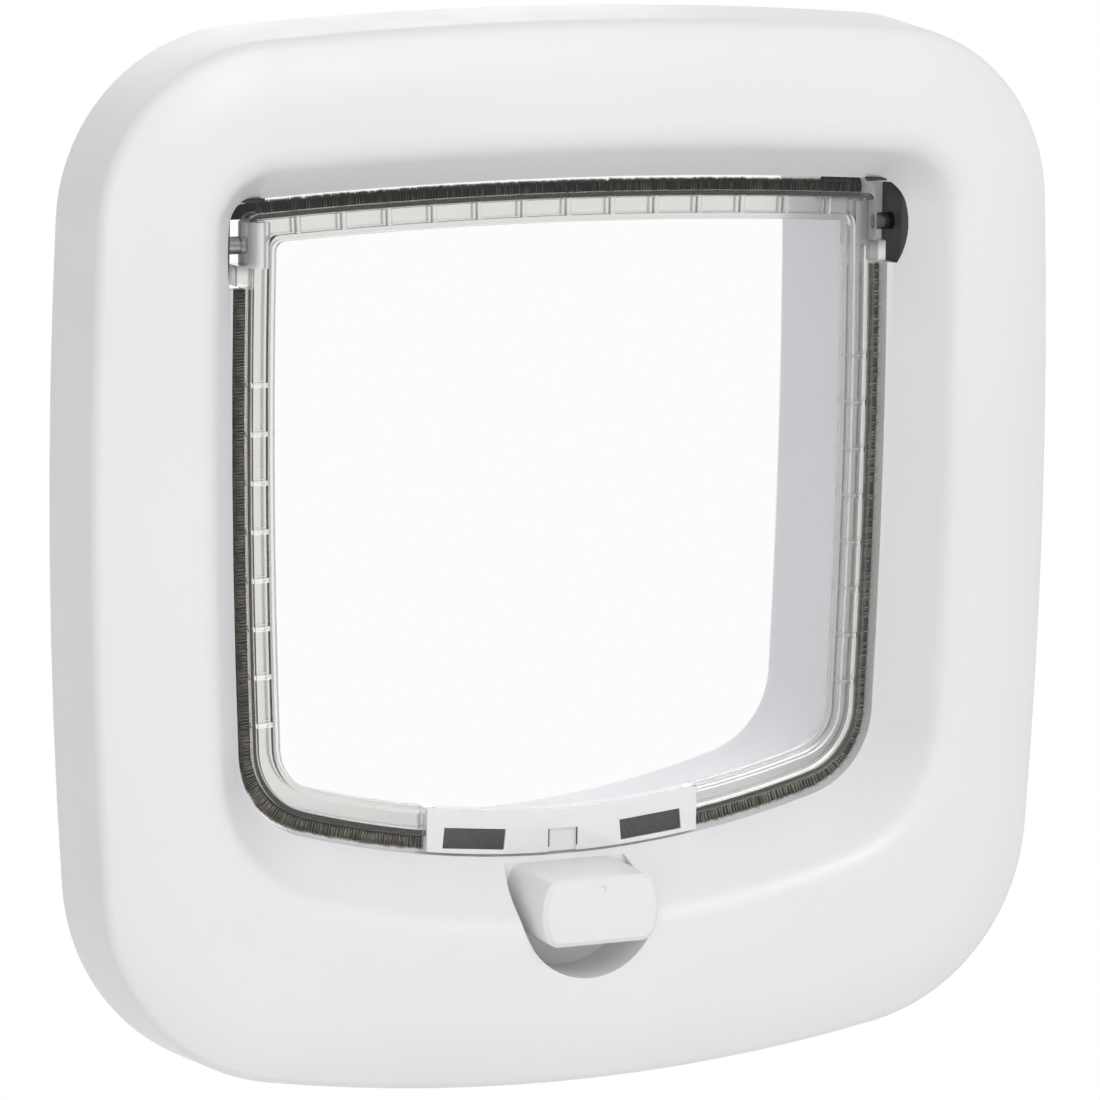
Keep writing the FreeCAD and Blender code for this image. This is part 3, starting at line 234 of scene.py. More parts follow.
def polish_ripple() -> bpy.types.NodeTree:
    """Build the group for polished clear plastic: long ripples, and small scuffs that scatter light.

    Returns:
        The node group.
    """
    inputs = {"Vector": "NodeSocketVector", "Ripple Height": "NodeSocketFloat", "Clearest": "NodeSocketFloat"}
    outputs = {"Roughness": "NodeSocketFloat", "Normal": "NodeSocketVector"}
    group, sheet, given, result = new_group("PolishRipple", inputs, outputs)
    place = given.outputs["Vector"]

    ripple = sheet.noise(place, 38.0, 1.0)
    bump = sheet.add("ShaderNodeBump")
    sheet.join(given.outputs["Ripple Height"], bump.inputs["Distance"])
    sheet.join(ripple, bump.inputs["Height"])
    sheet.join(bump.outputs["Normal"], result.inputs["Normal"])

    scuff = sheet.noise(place, 320.0, 4.0)
    spread = sheet.ramp(scuff, 0.0, 0.05)
    total = sheet.add("ShaderNodeMath", operation="ADD")
    sheet.join(given.outputs["Clearest"], total.inputs[0])
    sheet.join(spread, total.inputs[1])
    sheet.join(total.outputs[0], result.inputs["Roughness"])
    return group


def pressed_grit() -> bpy.types.NodeTree:
    """Build the group for pressed and plated metal: cells of slightly different shade, and fine scratches.

    Returns:
        The node group.
    """
    inputs = {
        "Vector": "NodeSocketVector",
        "Light Shade": "NodeSocketColor",
        "Dark Shade": "NodeSocketColor",
        "Grit Scale": "NodeSocketFloat",
        "Grit Height": "NodeSocketFloat",
    }
    outputs = {"Color": "NodeSocketColor", "Roughness": "NodeSocketFloat", "Normal": "NodeSocketVector"}
    group, sheet, given, result = new_group("PressedGrit", inputs, outputs)
    place = given.outputs["Vector"]

    cells = sheet.add("ShaderNodeTexVoronoi")
    sheet.join(place, cells.inputs["Vector"])
    sheet.join(given.outputs["Grit Scale"], cells.inputs["Scale"])
    shade = sheet.add("ShaderNodeMix", data_type="RGBA")
    apart = sheet.add("ShaderNodeSeparateColor")
    sheet.join(cells.outputs["Color"], apart.inputs["Color"])
    sheet.join(apart.outputs["Red"], shade.inputs["Factor"])
    sheet.join(given.outputs["Light Shade"], shade.inputs["A"])
    sheet.join(given.outputs["Dark Shade"], shade.inputs["B"])
    sheet.join(shade.outputs["Result"], result.inputs["Color"])

    worn = sheet.noise(place, 900.0, 3.0)
    sheet.join(sheet.ramp(worn, 0.32, 0.58), result.inputs["Roughness"])
    bump = sheet.add("ShaderNodeBump")
    sheet.join(given.outputs["Grit Height"], bump.inputs["Distance"])
    sheet.join(cells.outputs["Distance"], bump.inputs["Height"])
    sheet.join(bump.outputs["Normal"], result.inputs["Normal"])
    return group


def new_material(name: str) -> tuple[bpy.types.Material, NodeSheet, bpy.types.Node, bpy.types.NodeSocket]:
    """Start a material with its shader and object coordinates.

    Args:
        name: The material's name.

    Returns:
        The material, its sheet, its principled shader and the coordinates.
    """
    material = bpy.data.materials.new(name)
    material.use_nodes = True
    sheet = NodeSheet(material.node_tree)
    shader = material.node_tree.nodes["Principled BSDF"]
    place = sheet.add("ShaderNodeTexCoord").outputs["Object"]
    return material, sheet, shader, place


@dataclass(frozen=True)
class MouldedFinish:
    """Opaque moulded plastic."""

    name: str
    light: Colour
    dark: Colour
    sheen: Sheen
    grain_scale: float = 1700.0
    grain_height: float = 0.012 * MM

    def material(self, skin: bpy.types.NodeTree) -> bpy.types.Material:
        """Make the material.

        Args:
            skin: The group of moulded plastic.

        Returns:
            The material.
        """
        material, sheet, shader, place = new_material(self.name)
        group = sheet.add("ShaderNodeGroup", node_tree=skin)
        sheet.join(place, group.inputs["Vector"])
        group.inputs["Light Shade"].default_value = self.light
        group.inputs["Dark Shade"].default_value = self.dark
        group.inputs["Grain Scale"].default_value = self.grain_scale
        group.inputs["Grain Height"].default_value = self.grain_height
        group.inputs["Smoothest"].default_value = self.sheen.value - 0.04
        group.inputs["Roughest"].default_value = self.sheen.value + 0.05
        sheet.join(group.outputs["Color"], shader.inputs["Base Color"])
        sheet.join(group.outputs["Roughness"], shader.inputs["Roughness"])
        sheet.join(group.outputs["Normal"], shader.inputs["Normal"])
        shader.inputs["IOR"].default_value = 1.52
        return material


@dataclass(frozen=True)
class ClearFinish:
    """Clear polished plastic that light passes through, with a thick rim that reads darker than the pane and ears
    tinted dark grey as painted shade.
    """

    name: str
    pane: Colour
    rim: Colour
    # Painted shade: the dark grey tint of the ears, for the darkness seen through them round the hinge.
    ear_shade: Colour
    ripple_height: float = 0.02 * MM
    clearest: float = 0.015
    rim_haze: float = 0.2
    ear_shade_across: tuple[float, float] = (75.7 * MM, 77.6 * MM)
    ear_shade_height: tuple[float, float] = (66.5 * MM, 70.5 * MM)

    def ear_shade_mask(self, sheet: NodeSheet, place: bpy.types.NodeSocket) -> bpy.types.NodeSocket:
        """Mask the two ears by their place, near the panel's ends and level with the hinge, where painted shade tints
        them dark.

        Args:
            sheet: The nodes to add to.
            place: The coordinates to read.

        Returns:
            One on the ears, and nought elsewhere.
        """
        apart = sheet.add("ShaderNodeSeparateXYZ")
        sheet.join(place, apart.inputs[0])
        away = sheet.add("ShaderNodeMath", operation="ABSOLUTE")
        sheet.join(apart.outputs["X"], away.inputs[0])
        both = sheet.add("ShaderNodeMath", operation="MULTIPLY")
        for index, (value, (low, high)) in enumerate(
            ((away.outputs[0], self.ear_shade_across), (apart.outputs["Z"], self.ear_shade_height))
        ):
            step = sheet.add("ShaderNodeMapRange", interpolation_type="SMOOTHSTEP")
            step.inputs["From Min"].default_value = low
            step.inputs["From Max"].default_value = high
            sheet.join(value, step.inputs["Value"])
            sheet.join(step.outputs["Result"], both.inputs[index])
        return both.outputs[0]

    def tinted(
        self, sheet: NodeSheet, mask: bpy.types.NodeSocket, start: Colour | bpy.types.NodeSocket, end: Colour
    ) -> bpy.types.NodeSocket:
        """Change a tint where a mask says so.

        Args:
            sheet: The nodes to add to.
            mask: The mask's output.
            start: The tint elsewhere, as a colour or as an output.
            end: The tint where the mask is one.

        Returns:
            The mixed tint.
        """
        mix = sheet.add("ShaderNodeMix", data_type="RGBA")
        if isinstance(start, tuple):
            mix.inputs["A"].default_value = start
        else:
            sheet.join(start, mix.inputs["A"])
        mix.inputs["B"].default_value = end
        sheet.join(mask, mix.inputs["Factor"])
        return mix.outputs["Result"]

    def material(self, ripple: bpy.types.NodeTree) -> bpy.types.Material:
        """Make the material.

        Args:
            ripple: The group of polished clear plastic.

        Returns:
            The material.
        """
        material, sheet, shader, place = new_material(self.name)
        group = sheet.add("ShaderNodeGroup", node_tree=ripple)
        sheet.join(place, group.inputs["Vector"])
        group.inputs["Ripple Height"].default_value = self.ripple_height
        group.inputs["Clearest"].default_value = self.clearest
        sheet.join(group.outputs["Normal"], shader.inputs["Normal"])
        share = sheet.add("ShaderNodeAttribute", attribute_name=RIM_SHARE)
        tint = self.tinted(sheet, share.outputs["Fac"], self.pane, self.rim)
        # Painted shade: the ears are tinted dark grey where the mask is one.
        tint = self.tinted(sheet, self.ear_shade_mask(sheet, place), tint, self.ear_shade)
        sheet.join(tint, shader.inputs["Base Color"])
        haze = sheet.add("ShaderNodeMath", operation="MULTIPLY_ADD")
        haze.inputs[1].default_value = self.rim_haze
        sheet.join(share.outputs["Fac"], haze.inputs[0])
        sheet.join(group.outputs["Roughness"], haze.inputs[2])
        sheet.join(haze.outputs[0], shader.inputs["Roughness"])
        shader.inputs["IOR"].default_value = 1.49
        shader.inputs["Transmission Weight"].default_value = 1.0
        path = sheet.add("ShaderNodeLightPath")
        through = sheet.add("ShaderNodeBsdfTransparent")
        choice = sheet.add("ShaderNodeMixShader")
        finish = material.node_tree.nodes["Material Output"]
        sheet.join(path.outputs["Is Shadow Ray"], choice.inputs["Fac"])
        sheet.join(shader.outputs["BSDF"], choice.inputs[1])
        sheet.join(through.outputs["BSDF"], choice.inputs[2])
        sheet.join(choice.outputs["Shader"], finish.inputs["Surface"])
        return material


@dataclass(frozen=True)
class MetalFinish:
    """Pressed, sintered or plated metal."""

    name: str
    light: Colour
    dark: Colour
    metallic: float
    grit_scale: float
    grit_height: float = 0.006 * MM

    def material(self, grit: bpy.types.NodeTree) -> bpy.types.Material:
        """Make the material.

        Args:
            grit: The group of pressed and plated metal.

        Returns:
            The material.
        """
        material, sheet, shader, place = new_material(self.name)
        group = sheet.add("ShaderNodeGroup", node_tree=grit)
        sheet.join(place, group.inputs["Vector"])
        group.inputs["Light Shade"].default_value = self.light
        group.inputs["Dark Shade"].default_value = self.dark
        group.inputs["Grit Scale"].default_value = self.grit_scale
        group.inputs["Grit Height"].default_value = self.grit_height
        sheet.join(group.outputs["Color"], shader.inputs["Base Color"])
        sheet.join(group.outputs["Roughness"], shader.inputs["Roughness"])
        sheet.join(group.outputs["Normal"], shader.inputs["Normal"])
        shader.inputs["Metallic"].default_value = self.metallic
        return material


@dataclass(frozen=True)
class PileFinish:
    """Brush pile, with each fibre a little lighter or darker than the next."""

    name: str
    light: Colour
    dark: Colour

    def material(self) -> bpy.types.Material:
        """Make the material.

        Returns:
            The material.
        """
        material, sheet, shader, place = new_material(self.name)
        shade = sheet.add("ShaderNodeAttribute", attribute_name=FIBRE_SHADE)
        dust = sheet.noise(place, 420.0, 3.0)
        total = sheet.add("ShaderNodeMath", operation="MULTIPLY")
        sheet.join(shade.outputs["Fac"], total.inputs[0])
        sheet.join(sheet.ramp(dust, 0.35, 1.5), total.inputs[1])
        mix = sheet.add("ShaderNodeMix", data_type="RGBA")
        mix.inputs["A"].default_value = self.dark
        mix.inputs["B"].default_value = self.light
        sheet.join(total.outputs[0], mix.inputs["Factor"])
        sheet.join(mix.outputs["Result"], shader.inputs["Base Color"])
        shader.inputs["Roughness"].default_value = 0.7
        shader.inputs["Sheen Weight"].default_value = 0.2
        shader.inputs["Sheen Roughness"].default_value = 0.4
        return material


@dataclass
class Finishes:
    """Every material of the object, made once from shared groups."""

    made: dict[str, bpy.types.Material] = field(default_factory=dict)

    def build(self) -> None:
        """Make all the materials, keyed by the record's slot."""
        skin = moulded_skin()
        grit = pressed_grit()
        white = ((0.85, 0.85, 0.855, 1), (0.825, 0.825, 0.83, 1))
        moulded = (
            MouldedFinish("frame_white", *white, Sheen.SATIN),
            MouldedFinish("knob_white", *white, Sheen.SATIN),
            MouldedFinish("liner_white", (0.81, 0.81, 0.83, 1), (0.78, 0.78, 0.80, 1), Sheen.FINE),
            MouldedFinish("cam_white", (0.80, 0.80, 0.81, 1), (0.77, 0.77, 0.78, 1), Sheen.FINE),
            MouldedFinish("bar_pale", (0.84, 0.84, 0.84, 1), (0.80, 0.80, 0.80, 1), Sheen.FINE),
            MouldedFinish("bearing_dark", (0.055, 0.055, 0.06, 1), (0.035, 0.035, 0.04, 1), Sheen.DULL),
        )
        for finish in moulded:
            self.made[finish.name] = finish.material(skin)
        # The dark grey on the clear panel's ears is painted shade.
        clear = ClearFinish(
            "flap_clear", pane=(0.975, 0.975, 0.98, 1), rim=(0.73, 0.722, 0.702, 1), ear_shade=(0.2, 0.2, 0.21, 1)
        )
        self.made[clear.name] = clear.material(polish_ripple())
        pile = PileFinish("pile_dark", light=(0.40, 0.37, 0.30, 1), dark=(0.018, 0.018, 0.015, 1))
        self.made[pile.name] = pile.material()
        metals = (
            MetalFinish("screw_steel", (0.62, 0.62, 0.60, 1), (0.50, 0.50, 0.49, 1), 1.0, 1400.0),
            MetalFinish("striker_steel", (0.52, 0.52, 0.53, 1), (0.42, 0.42, 0.43, 1), 1.0, 900.0),
            MetalFinish("magnet_grey", (0.085, 0.085, 0.09, 1), (0.06, 0.06, 0.065, 1), 0.25, 2600.0),
        )
        for finish in metals:
            self.made[finish.name] = finish.material(grit)


def random_between(low: float, high: float) -> float:
    """A seeded random number between two values."""
    return low + (high - low) * noise_random()


def merged_copy(node: str) -> bmesh.types.BMesh:
    """Copy a CAD node's mesh and join its loose triangles.

    Args:
        node: The node's name.

    Returns:
        The joined form.
    """
    form = bmesh.new()
    form.from_mesh(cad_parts[node].data)
    bmesh.ops.remove_doubles(form, verts=form.verts, dist=0.002 * MM)
    bmesh.ops.dissolve_degenerate(form, edges=form.edges, dist=0.001 * MM)
    bmesh.ops.recalc_face_normals(form, faces=form.faces)
    return form


def restarted(form: bmesh.types.BMesh) -> bmesh.types.BMesh:
    """Move a form into a fresh one, so that what is added next comes last in its lists.

    Args:
        form: The form, which is freed.

    Returns:
        The fresh form.
    """
    mesh = bpy.data.meshes.new("restarted")
    form.to_mesh(mesh)
    form.free()
    fresh = bmesh.new()
    fresh.from_mesh(mesh)
    bpy.data.meshes.remove(mesh)
    return fresh


def ease(form: bmesh.types.BMesh, width: float, least_turn: float = math.radians(28), segments: int = 2) -> None:
    """Take the sharpness off every edge that turns by more than a given angle.

    Args:
        form: The form to change.
        width: How far the rounding reaches from each edge.
        least_turn: The smallest turn that counts as an edge.
        segments: How many faces round each edge.
    """
    flat = math.radians(0.5)
    bmesh.ops.dissolve_limit(form, angle_limit=flat, use_dissolve_boundaries=False, verts=form.verts, edges=form.edges)
    edges = [edge for edge in form.edges if edge.is_manifold and edge.calc_face_angle(0.0) > least_turn]
    bmesh.ops.bevel(
        form,
        geom=edges,
        offset=width,
        offset_type="OFFSET",
        segments=segments,
        profile=0.5,
        affect="EDGES",
        clamp_overlap=True,
        material=-1,
    )


@dataclass
class SubAssembly:
    """Pieces that are built together and move with one body."""

    finishes: Finishes
    rider: Rider

    def piece(self, name: str, form: bmesh.types.BMesh, slot: str, sharp: float = math.radians(32)) -> bpy.types.Object:
        """Finish a form as a piece that rides with this sub-assembly's body.

        Args:
            name: The piece's name.
            form: Its shape, which is freed.
            slot: The material slot of its finish.
            sharp: The turn above which an edge stays crisp.

        Returns:
            The piece.
        """
        for face in form.faces:
            face.smooth = True
        for edge in form.edges:
            edge.smooth = edge.is_manifold and edge.calc_face_angle(0.0) < sharp
        mesh = bpy.data.meshes.new(name)
        form.to_mesh(mesh)
        form.free()
        mesh.materials.append(self.finishes.made[slot])
        item = bpy.data.objects.new(name, mesh)
        bpy.context.scene.collection.objects.link(item)
        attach(item, self.rider.value)
        LOG.info("%s: %d faces", name, len(mesh.polygons))
        return item

    def dress(self, node: str, slot: str, easing: float = 0.0, segments: int = 2) -> bpy.types.Object:
        """Let a smooth copy of a CAD node stand for it.

        Args:
            node: The node's name.
            slot: The material slot of its finish.
            easing: How far its edges are rounded, or nothing where the node has its own roundings.
            segments: How many faces round each edge.

        Returns:
            The piece.
        """
        form = merged_copy(node)
        if easing:
            ease(form, easing, segments=segments)
        item = self.piece(f"{node}_smooth", form, slot)
        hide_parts(node)
        return item


@dataclass(frozen=True)
class Leaf:
    """One leaf of a bearing's dark collar, which partly stands in for shade: an arc round the hinge, between two places
    across the frame.
    """

    radius: float
    near: float
    far: float
    start: float
    end: float


@dataclass
class RoomFrame(SubAssembly):
    """The crowned frame on the room side, with the two bearings that it holds.

    Each bearing has a thin dark collar in two leaves: one curls over the top of the flap's ear, and a wider one hangs
    behind it, out of reach of the swinging pile. The collar carries on the bearings' own dark plastic and is partly
    painted shade, a dark sheet in the pockets round the ears.
    """

    bearing_easing: float = 0.25 * MM
    hinge: Vector = field(default_factory=lambda: Vector((0.0, -9.0 * MM, 74.0 * MM)))
    collar_wall: float = 0.55 * MM
    collar_steps: int = 20
    leaves: tuple[Leaf, ...] = (
        Leaf(10.7 * MM, 76.2 * MM, 84.6 * MM, math.radians(68), math.radians(108)),
        Leaf(12.75 * MM, 70.5 * MM, 83.2 * MM, math.radians(76), math.radians(160)),
    )

    def collar(self, side: Side) -> None:
        """Curl the dark collar of one bearing over its ear, partly as painted shade round the ear.

        Args:
            side: The side of the frame.
        """
        hand = 1.0 if side is Side.RIGHT else -1.0
        form = bmesh.new()
        for leaf in self.leaves:
            outer = leaf.radius + self.collar_wall
            turn = Matrix.Rotation(-leaf.start, 3, "X")
            corners = [(leaf.near, leaf.radius), (leaf.far, leaf.radius), (leaf.far, outer), (leaf.near, outer)]
            section = form.faces.new(
                [form.verts.new(turn @ Vector((across * hand, -radius, 0.0))) for across, radius in corners]
            )
            bmesh.ops.spin(
                form,
                geom=[section, *section.edges, *section.verts],
                axis=(-1, 0, 0),
                cent=(0, 0, 0),
                angle=leaf.end - leaf.start,
                steps=self.collar_steps,
                use_duplicate=False,
            )
        bmesh.ops.recalc_face_normals(form, faces=form.faces)
        bmesh.ops.translate(form, verts=form.verts, vec=self.hinge)
        self.piece(f"bearing_collar_{side.value}", form, "bearing_dark")

    def build(self) -> None:
        """Dress the frame and its bearings."""
        self.dress("front_frame", "frame_white")
        for side in Side:
            self.dress(f"hinge_bearing_{side.value}", "bearing_dark", self.bearing_easing)
            self.collar(side)


@dataclass
class DoorLiner(SubAssembly):
    """The tunnel through the door, its screws and the two strikers that the magnets hold to."""

    striker_easing: float = 0.12 * MM
    screw_easing: float = 0.15 * MM

    def build(self) -> None:
        """Dress the liner, its screws and its strikers."""
        self.dress("door_liner", "liner_white")
        self.dress("liner_screws", "screw_steel", self.screw_easing)
        for side in Side:
            self.dress(f"striker_{side.value}", "striker_steel", self.striker_easing)


@dataclass
class ClearFlap(SubAssembly):
    """The clear panel, whose thick rim reads darker than the pane and whose ears are tinted dark grey as painted shade.
    """

    depth: float = -9.0 * MM
    pane_half: float = 1.3 * MM
    slack: float = 0.05 * MM

    def is_pane(self, face: bmesh.types.BMFace) -> bool:
        """Whether a face is one of the pane's two flat sides."""
        off = abs(abs(face.calc_center_median().y - self.depth) - self.pane_half)
        return abs(face.normal.y) > 0.99 and off < self.slack

    def build(self) -> None:
        """Dress the panel and mark which faces belong to its rim."""
        form = merged_copy("flap_panel")
        rim = form.faces.layers.float.new(RIM_SHARE)
        for face in form.faces:
            face[rim] = 0.0 if self.is_pane(face) else 1.0
        item = self.piece("flap_panel_smooth", form, "flap_clear")
        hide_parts("flap_panel")


@dataclass
class Tuft:
    """One tuft of pile: fibres that stand side by side and point along +Z."""

    fibres: int = 40
    length: float = 3.0 * MM
    shortest: float = 0.8
    along: float = 0.62 * MM
    across: float = 1.22 * MM
    thick: float = 0.085 * MM
    lean: float = math.radians(5)
    shades: list[float] = field(default_factory=list)

    def mesh(self) -> bpy.types.Mesh:
        """Stand up the fibres, each a slim three-sided spike, with its tip near the origin's plane.

        Returns:
            The tuft's mesh; the shades, one for each of its points, are kept beside it.
        """
        form = bmesh.new()
        for _ in range(self.fibres):
            start = len(form.verts)
            tall = self.length * random_between(self.shortest, 1.0)
            tilt = Matrix.Rotation(random_between(-self.lean, self.lean), 4, "X")
            tilt = tilt @ Matrix.Rotation(random_between(-self.lean, self.lean), 4, "Y")
            foot = Vector((random_between(-self.along, self.along), random_between(-self.across, self.across), 0.0))
            spot = Matrix.Translation(foot - Vector((0, 0, self.length))) @ tilt
            bmesh.ops.create_cone(
                form,
                cap_ends=True,
                cap_tris=True,
                segments=3,
                radius1=self.thick,
                radius2=self.thick * 0.3,
                depth=tall,
                matrix=spot @ Matrix.Translation((0, 0, tall / 2)) @ Matrix.Rotation(random_between(0, 6), 4, "Z"),
            )
            shade = random_between(0.0, 1.0) ** 1.6
            self.shades += [shade] * (len(form.verts) - start)
        mesh = bpy.data.meshes.new("tuft")
        form.to_mesh(mesh)
        form.free()
        return mesh


@dataclass
class PileSeal(SubAssembly):
    """Three strips of brush pile that close the gap between the flap and the mouth."""

    front: float = -10.4 * MM
    depth: float = -9.0 * MM
    pitch: float = 0.72 * MM
    core_thickness: float = 0.72
    core_inset: float = 0.9 * MM
    ragged: float = 0.25 * MM

    def rows(self, form: bmesh.types.BMesh, strip: Strip) -> list[tuple[Vector, Vector, Vector]]:
        """Find where the tufts of a strip end, one after the other along its outer wall.

        Args:
            form: The strip's own form.
            strip: Which strip it is.

        Returns:
            For each tuft, the place of its tips, the way along the strip and the way out.
        """
        found = []
        carry = 0.0
        for edge in form.edges:
            walls = [face for face in edge.link_faces if abs(face.normal.y) < 0.3 and strip.faces_out(face.normal)]
            fronts = [face for face in edge.link_faces if face.normal.y < -0.9]
            middle = (edge.verts[0].co + edge.verts[1].co) / 2
            if not walls or not fronts or abs(middle.y - self.front) > 0.1 * MM:
                continue
            reach = edge.verts[1].co - edge.verts[0].co
            out = walls[0].normal.normalized()
            place = carry
            while place < reach.length:
                spot = edge.verts[0].co + reach.normalized() * place
                found.append((Vector((spot.x, self.depth, spot.z)), reach.normalized(), out))
                place += self.pitch
            carry = place - reach.length
        return found

    def shrink_core(self, form: bmesh.types.BMesh, strip: Strip) -> None:
        """Draw the strip's solid in, so that the fibres stand round it.

        Args:
            form: The strip's own form.
            strip: Which strip it is.
        """
        moves = {}
        for face in form.faces:
            if abs(face.normal.y) < 0.3 and strip.faces_out(face.normal):
                for vert in face.verts:
                    moves[vert] = -face.normal * self.core_inset
        for vert, step in moves.items():
            vert.co += step
        middle = Matrix.Translation((0, -self.depth, 0))
        bmesh.ops.scale(form, vec=(1, self.core_thickness, 1), space=middle, verts=form.verts)

    def strip(self, strip: Strip) -> None:
        """Build one strip: its dark core with tufts all along.

        Args:
            strip: Which strip it is.
        """
        core = merged_copy(strip.value)
        rows = self.rows(core, strip)
        self.shrink_core(core, strip)
        form = restarted(core)
        shades = [0.0] * len(form.verts)
        tuft = Tuft()
        pattern = tuft.mesh()
        for tips, along, out in rows:
            start = len(form.verts)
            form.from_mesh(pattern)
            form.verts.ensure_lookup_table()
            flipped = along if noise_random() < 0.5 else -along
            turn = Matrix((flipped, out.cross(flipped), out)).transposed()
            spot = Matrix.Translation(tips - out * random_between(0.0, self.ragged)) @ turn.to_4x4()
            bmesh.ops.transform(form, matrix=spot, verts=form.verts[start:])
            shades += tuft.shades
        bpy.data.meshes.remove(pattern)
        item = self.piece(f"{strip.value}_fibres", form, "pile_dark")
        layer = item.data.attributes.new(FIBRE_SHADE, "FLOAT", "POINT")
        layer.data.foreach_set("value", shades)
        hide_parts(strip.value)

    def build(self) -> None:
        """Build the three strips."""
        for strip in Strip:
            self.strip(strip)


@dataclass
class MagnetBar(SubAssembly):
    """The pale bar at the foot of the flap, its two magnets and the marks between them."""

    easing: float = 0.25 * MM
    magnet_easing: float = 0.2 * MM
    mark_size: Vector = field(default_factory=lambda: Vector((0.34, 0.2, 4.3)) * MM)
    mark_half_gap: float = 3.6 * MM

    def mark(self, side: Side) -> None:
        """Set a thin dark line at one side of the catch in the middle of the bar.

        Args:
            side: The side of the catch.
        """
        hand = 1.0 if side is Side.RIGHT else -1.0
        form = bmesh.new()
        bmesh.ops.create_cube(form, size=1.0)
        bmesh.ops.scale(form, vec=self.mark_size, verts=form.verts)
        ease(form, self.mark_size.x / 5)
        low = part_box("magnet_bar")[0]
        place = Vector((hand * self.mark_half_gap, low[1] + self.mark_size.y * 0.3, low[2] + 3.4 * MM))
        bmesh.ops.translate(form, verts=form.verts, vec=place)
        self.piece(f"catch_line_{side.value}", form, "bearing_dark")

    def build(self) -> None:
        """Dress the bar and its magnets, and set the lines beside the catch."""
        self.dress("magnet_bar", "bar_pale", self.easing)
        for side in Side:
            self.dress(f"magnet_{side.value}", "magnet_grey", self.magnet_easing)
            self.mark(side)


@dataclass
class Lock(SubAssembly):
    """The four-way lock: its knob, the cam behind it and the screw that holds them together."""

    knob_easing: float = 0.55 * MM
    cam_easing: float = 0.2 * MM
    screw_easing: float = 0.15 * MM

    def build(self) -> None:
        """Dress the knob, the cam and the screw."""
        self.dress("lock_knob", "knob_white", self.knob_easing, segments=3)
        self.dress("lock_cam", "cam_white", self.cam_easing)
        self.dress("lock_screw", "screw_steel", self.screw_easing)


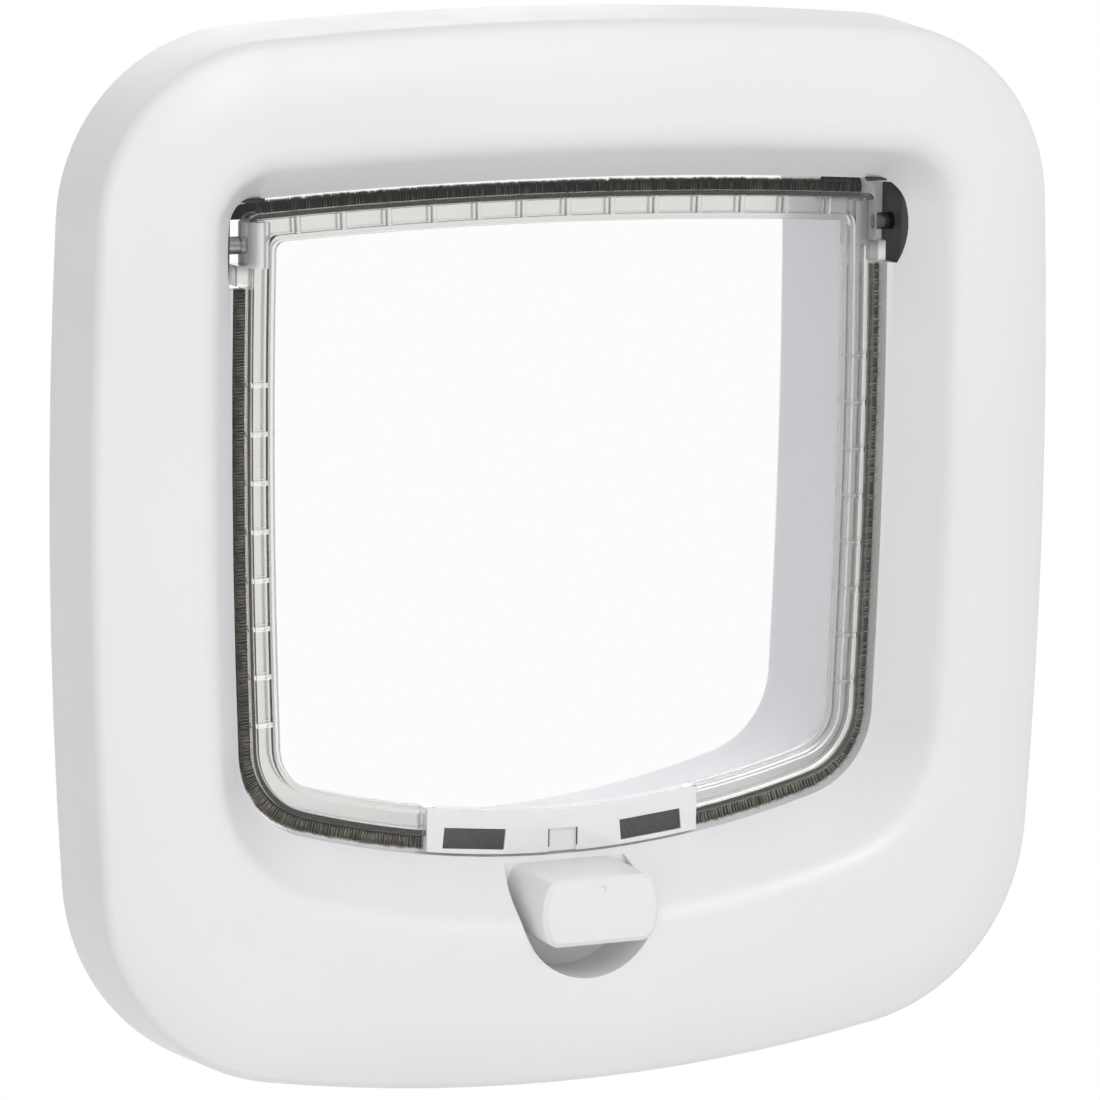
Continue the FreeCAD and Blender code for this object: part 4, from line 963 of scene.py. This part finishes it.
@dataclass
class Studio:
    """The camera, the soft lamps, the pale floor and the white surround."""

    azimuth: float = math.radians(-24.5)
    elevation: float = math.radians(9.48)
    roll: float = math.radians(0.687)
    distance: float = 1.3439
    target: Vector = field(default_factory=lambda: Vector((0.00143, 0.0, -0.001456)))
    lens: float = 188.3
    sensor: float = 36.0
    floor_drop: float = 0.42
    floor_size: float = 12.0

    def build(self) -> None:
        """Put up the whole set."""
        bpy.context.scene.view_settings.view_transform = "Standard"
        self.camera()
        self.lamps()
        self.floor()
        self.surround()

    def camera(self) -> None:
        """Place the camera at the photograph's angle."""
        lens = bpy.data.cameras.new("camera")
        lens.lens = self.lens
        lens.sensor_width = self.sensor
        lens.clip_end = 60.0
        eye = bpy.data.objects.new("camera", lens)
        bpy.context.scene.collection.objects.link(eye)
        flat = math.cos(self.elevation)
        way = Vector((math.sin(self.azimuth) * flat, -math.cos(self.azimuth) * flat, math.sin(self.elevation)))
        across = (-way).cross(Vector((0, 0, 1))).normalized()
        upright = across.cross(-way)
        lean = Matrix.Rotation(self.roll, 3, way)
        turn = Matrix((lean @ across, lean @ upright, way)).transposed()
        eye.location = self.target + way * self.distance
        eye.rotation_euler = turn.to_euler()
        bpy.context.scene.camera = eye

    def lamp(self, name: str, place: Vector, size: float, power: float) -> None:
        """Hang a square soft lamp that points at the object.

        Args:
            name: The lamp's name.
            place: Where it hangs.
            size: The length of its side.
            power: Its power in watts.
        """
        light = bpy.data.lights.new(name, "AREA")
        light.size = size
        light.energy = power
        holder = bpy.data.objects.new(name, light)
        bpy.context.scene.collection.objects.link(holder)
        holder.location = place
        holder.rotation_euler = place.to_track_quat("Z", "Y").to_euler()

    def lamps(self) -> None:
        """Hang the key lamp, the fill lamp and the lamp behind the door."""
        self.lamp("key_lamp", Vector((0.3, -2.1, 1.6)), 1.2, 22.0)
        self.lamp("fill_lamp", Vector((-1.3, -2.0, 0.2)), 1.2, 6.0)
        self.lamp("back_lamp", Vector((0.3, 2.2, 0.9)), 1.6, 7.0)

    def white_to_camera(self, sheet: NodeSheet, shown: bpy.types.NodeSocket, lit: bpy.types.NodeSocket) -> object:
        """Choose what a camera, glossy or transmitted ray sees, and what lights the object otherwise.

        Args:
            sheet: The nodes to add to.
            shown: The shader that is seen.
            lit: The shader for every other ray.

        Returns:
            The mixed shader.
        """
        path = sheet.add("ShaderNodeLightPath")
        seen = path.outputs["Is Camera Ray"]
        for name in ("Is Glossy Ray", "Is Transmission Ray"):
            either = sheet.add("ShaderNodeMath", operation="MAXIMUM")
            sheet.join(seen, either.inputs[0])
            sheet.join(path.outputs[name], either.inputs[1])
            seen = either.outputs[0]
        choice = sheet.add("ShaderNodeMixShader")
        sheet.join(seen, choice.inputs["Fac"])
        sheet.join(lit, choice.inputs[1])
        sheet.join(shown, choice.inputs[2])
        return choice.outputs["Shader"]

    def floor(self) -> None:
        """Lay a pale floor well below the object, which hangs as it would on a door."""
        form = bmesh.new()
        bmesh.ops.create_grid(form, x_segments=1, y_segments=1, size=self.floor_size / 2)
        bmesh.ops.translate(form, verts=form.verts, vec=(0, 0, -self.floor_drop))
        mesh = bpy.data.meshes.new("floor")
        form.to_mesh(mesh)
        form.free()
        floor = bpy.data.objects.new("floor", mesh)
        bpy.context.scene.collection.objects.link(floor)
        material, sheet, shader, place = new_material("floor_pale")
        tone = sheet.ramp(sheet.noise(place, 3.0, 4.0), 0.9, 0.94)
        colour = sheet.add("ShaderNodeCombineColor")
        for channel in ("Red", "Green", "Blue"):
            sheet.join(tone, colour.inputs[channel])
        sheet.join(colour.outputs["Color"], shader.inputs["Base Color"])
        shader.inputs["Roughness"].default_value = 0.8
        white = sheet.add("ShaderNodeEmission")
        finish = material.node_tree.nodes["Material Output"]
        mixed = self.white_to_camera(sheet, white.outputs["Emission"], shader.outputs["BSDF"])
        sheet.join(mixed, finish.inputs["Surface"])
        mesh.materials.append(material)

    def surround(self) -> None:
        """Fill the room with plain light that shows as white."""
        world = bpy.data.worlds.new("surround")
        world.use_nodes = True
        bpy.context.scene.world = world
        sheet = NodeSheet(world.node_tree)
        lit = world.node_tree.nodes["Background"]
        lit.inputs["Color"].default_value = (0.97, 0.98, 1.0, 1)
        lit.inputs["Strength"].default_value = 0.56
        shown = sheet.add("ShaderNodeBackground")
        shown.inputs["Color"].default_value = (1, 1, 1, 1)
        mixed = self.white_to_camera(sheet, shown.outputs["Background"], lit.outputs["Background"])
        sheet.join(mixed, world.node_tree.nodes["World Output"].inputs["Surface"])


def main() -> None:
    """Build every sub-assembly in order."""
    logging.basicConfig(level=logging.INFO, format="%(message)s")
    seed_set(7)
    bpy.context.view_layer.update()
    finishes = Finishes()
    finishes.build()
    RoomFrame(finishes, Rider.FRAME).build()
    DoorLiner(finishes, Rider.FRAME).build()
    ClearFlap(finishes, Rider.FLAP).build()
    PileSeal(finishes, Rider.FLAP).build()
    MagnetBar(finishes, Rider.FLAP).build()
    Lock(finishes, Rider.LOCK).build()
    Studio().build()


if __name__ == "__main__":
    main()
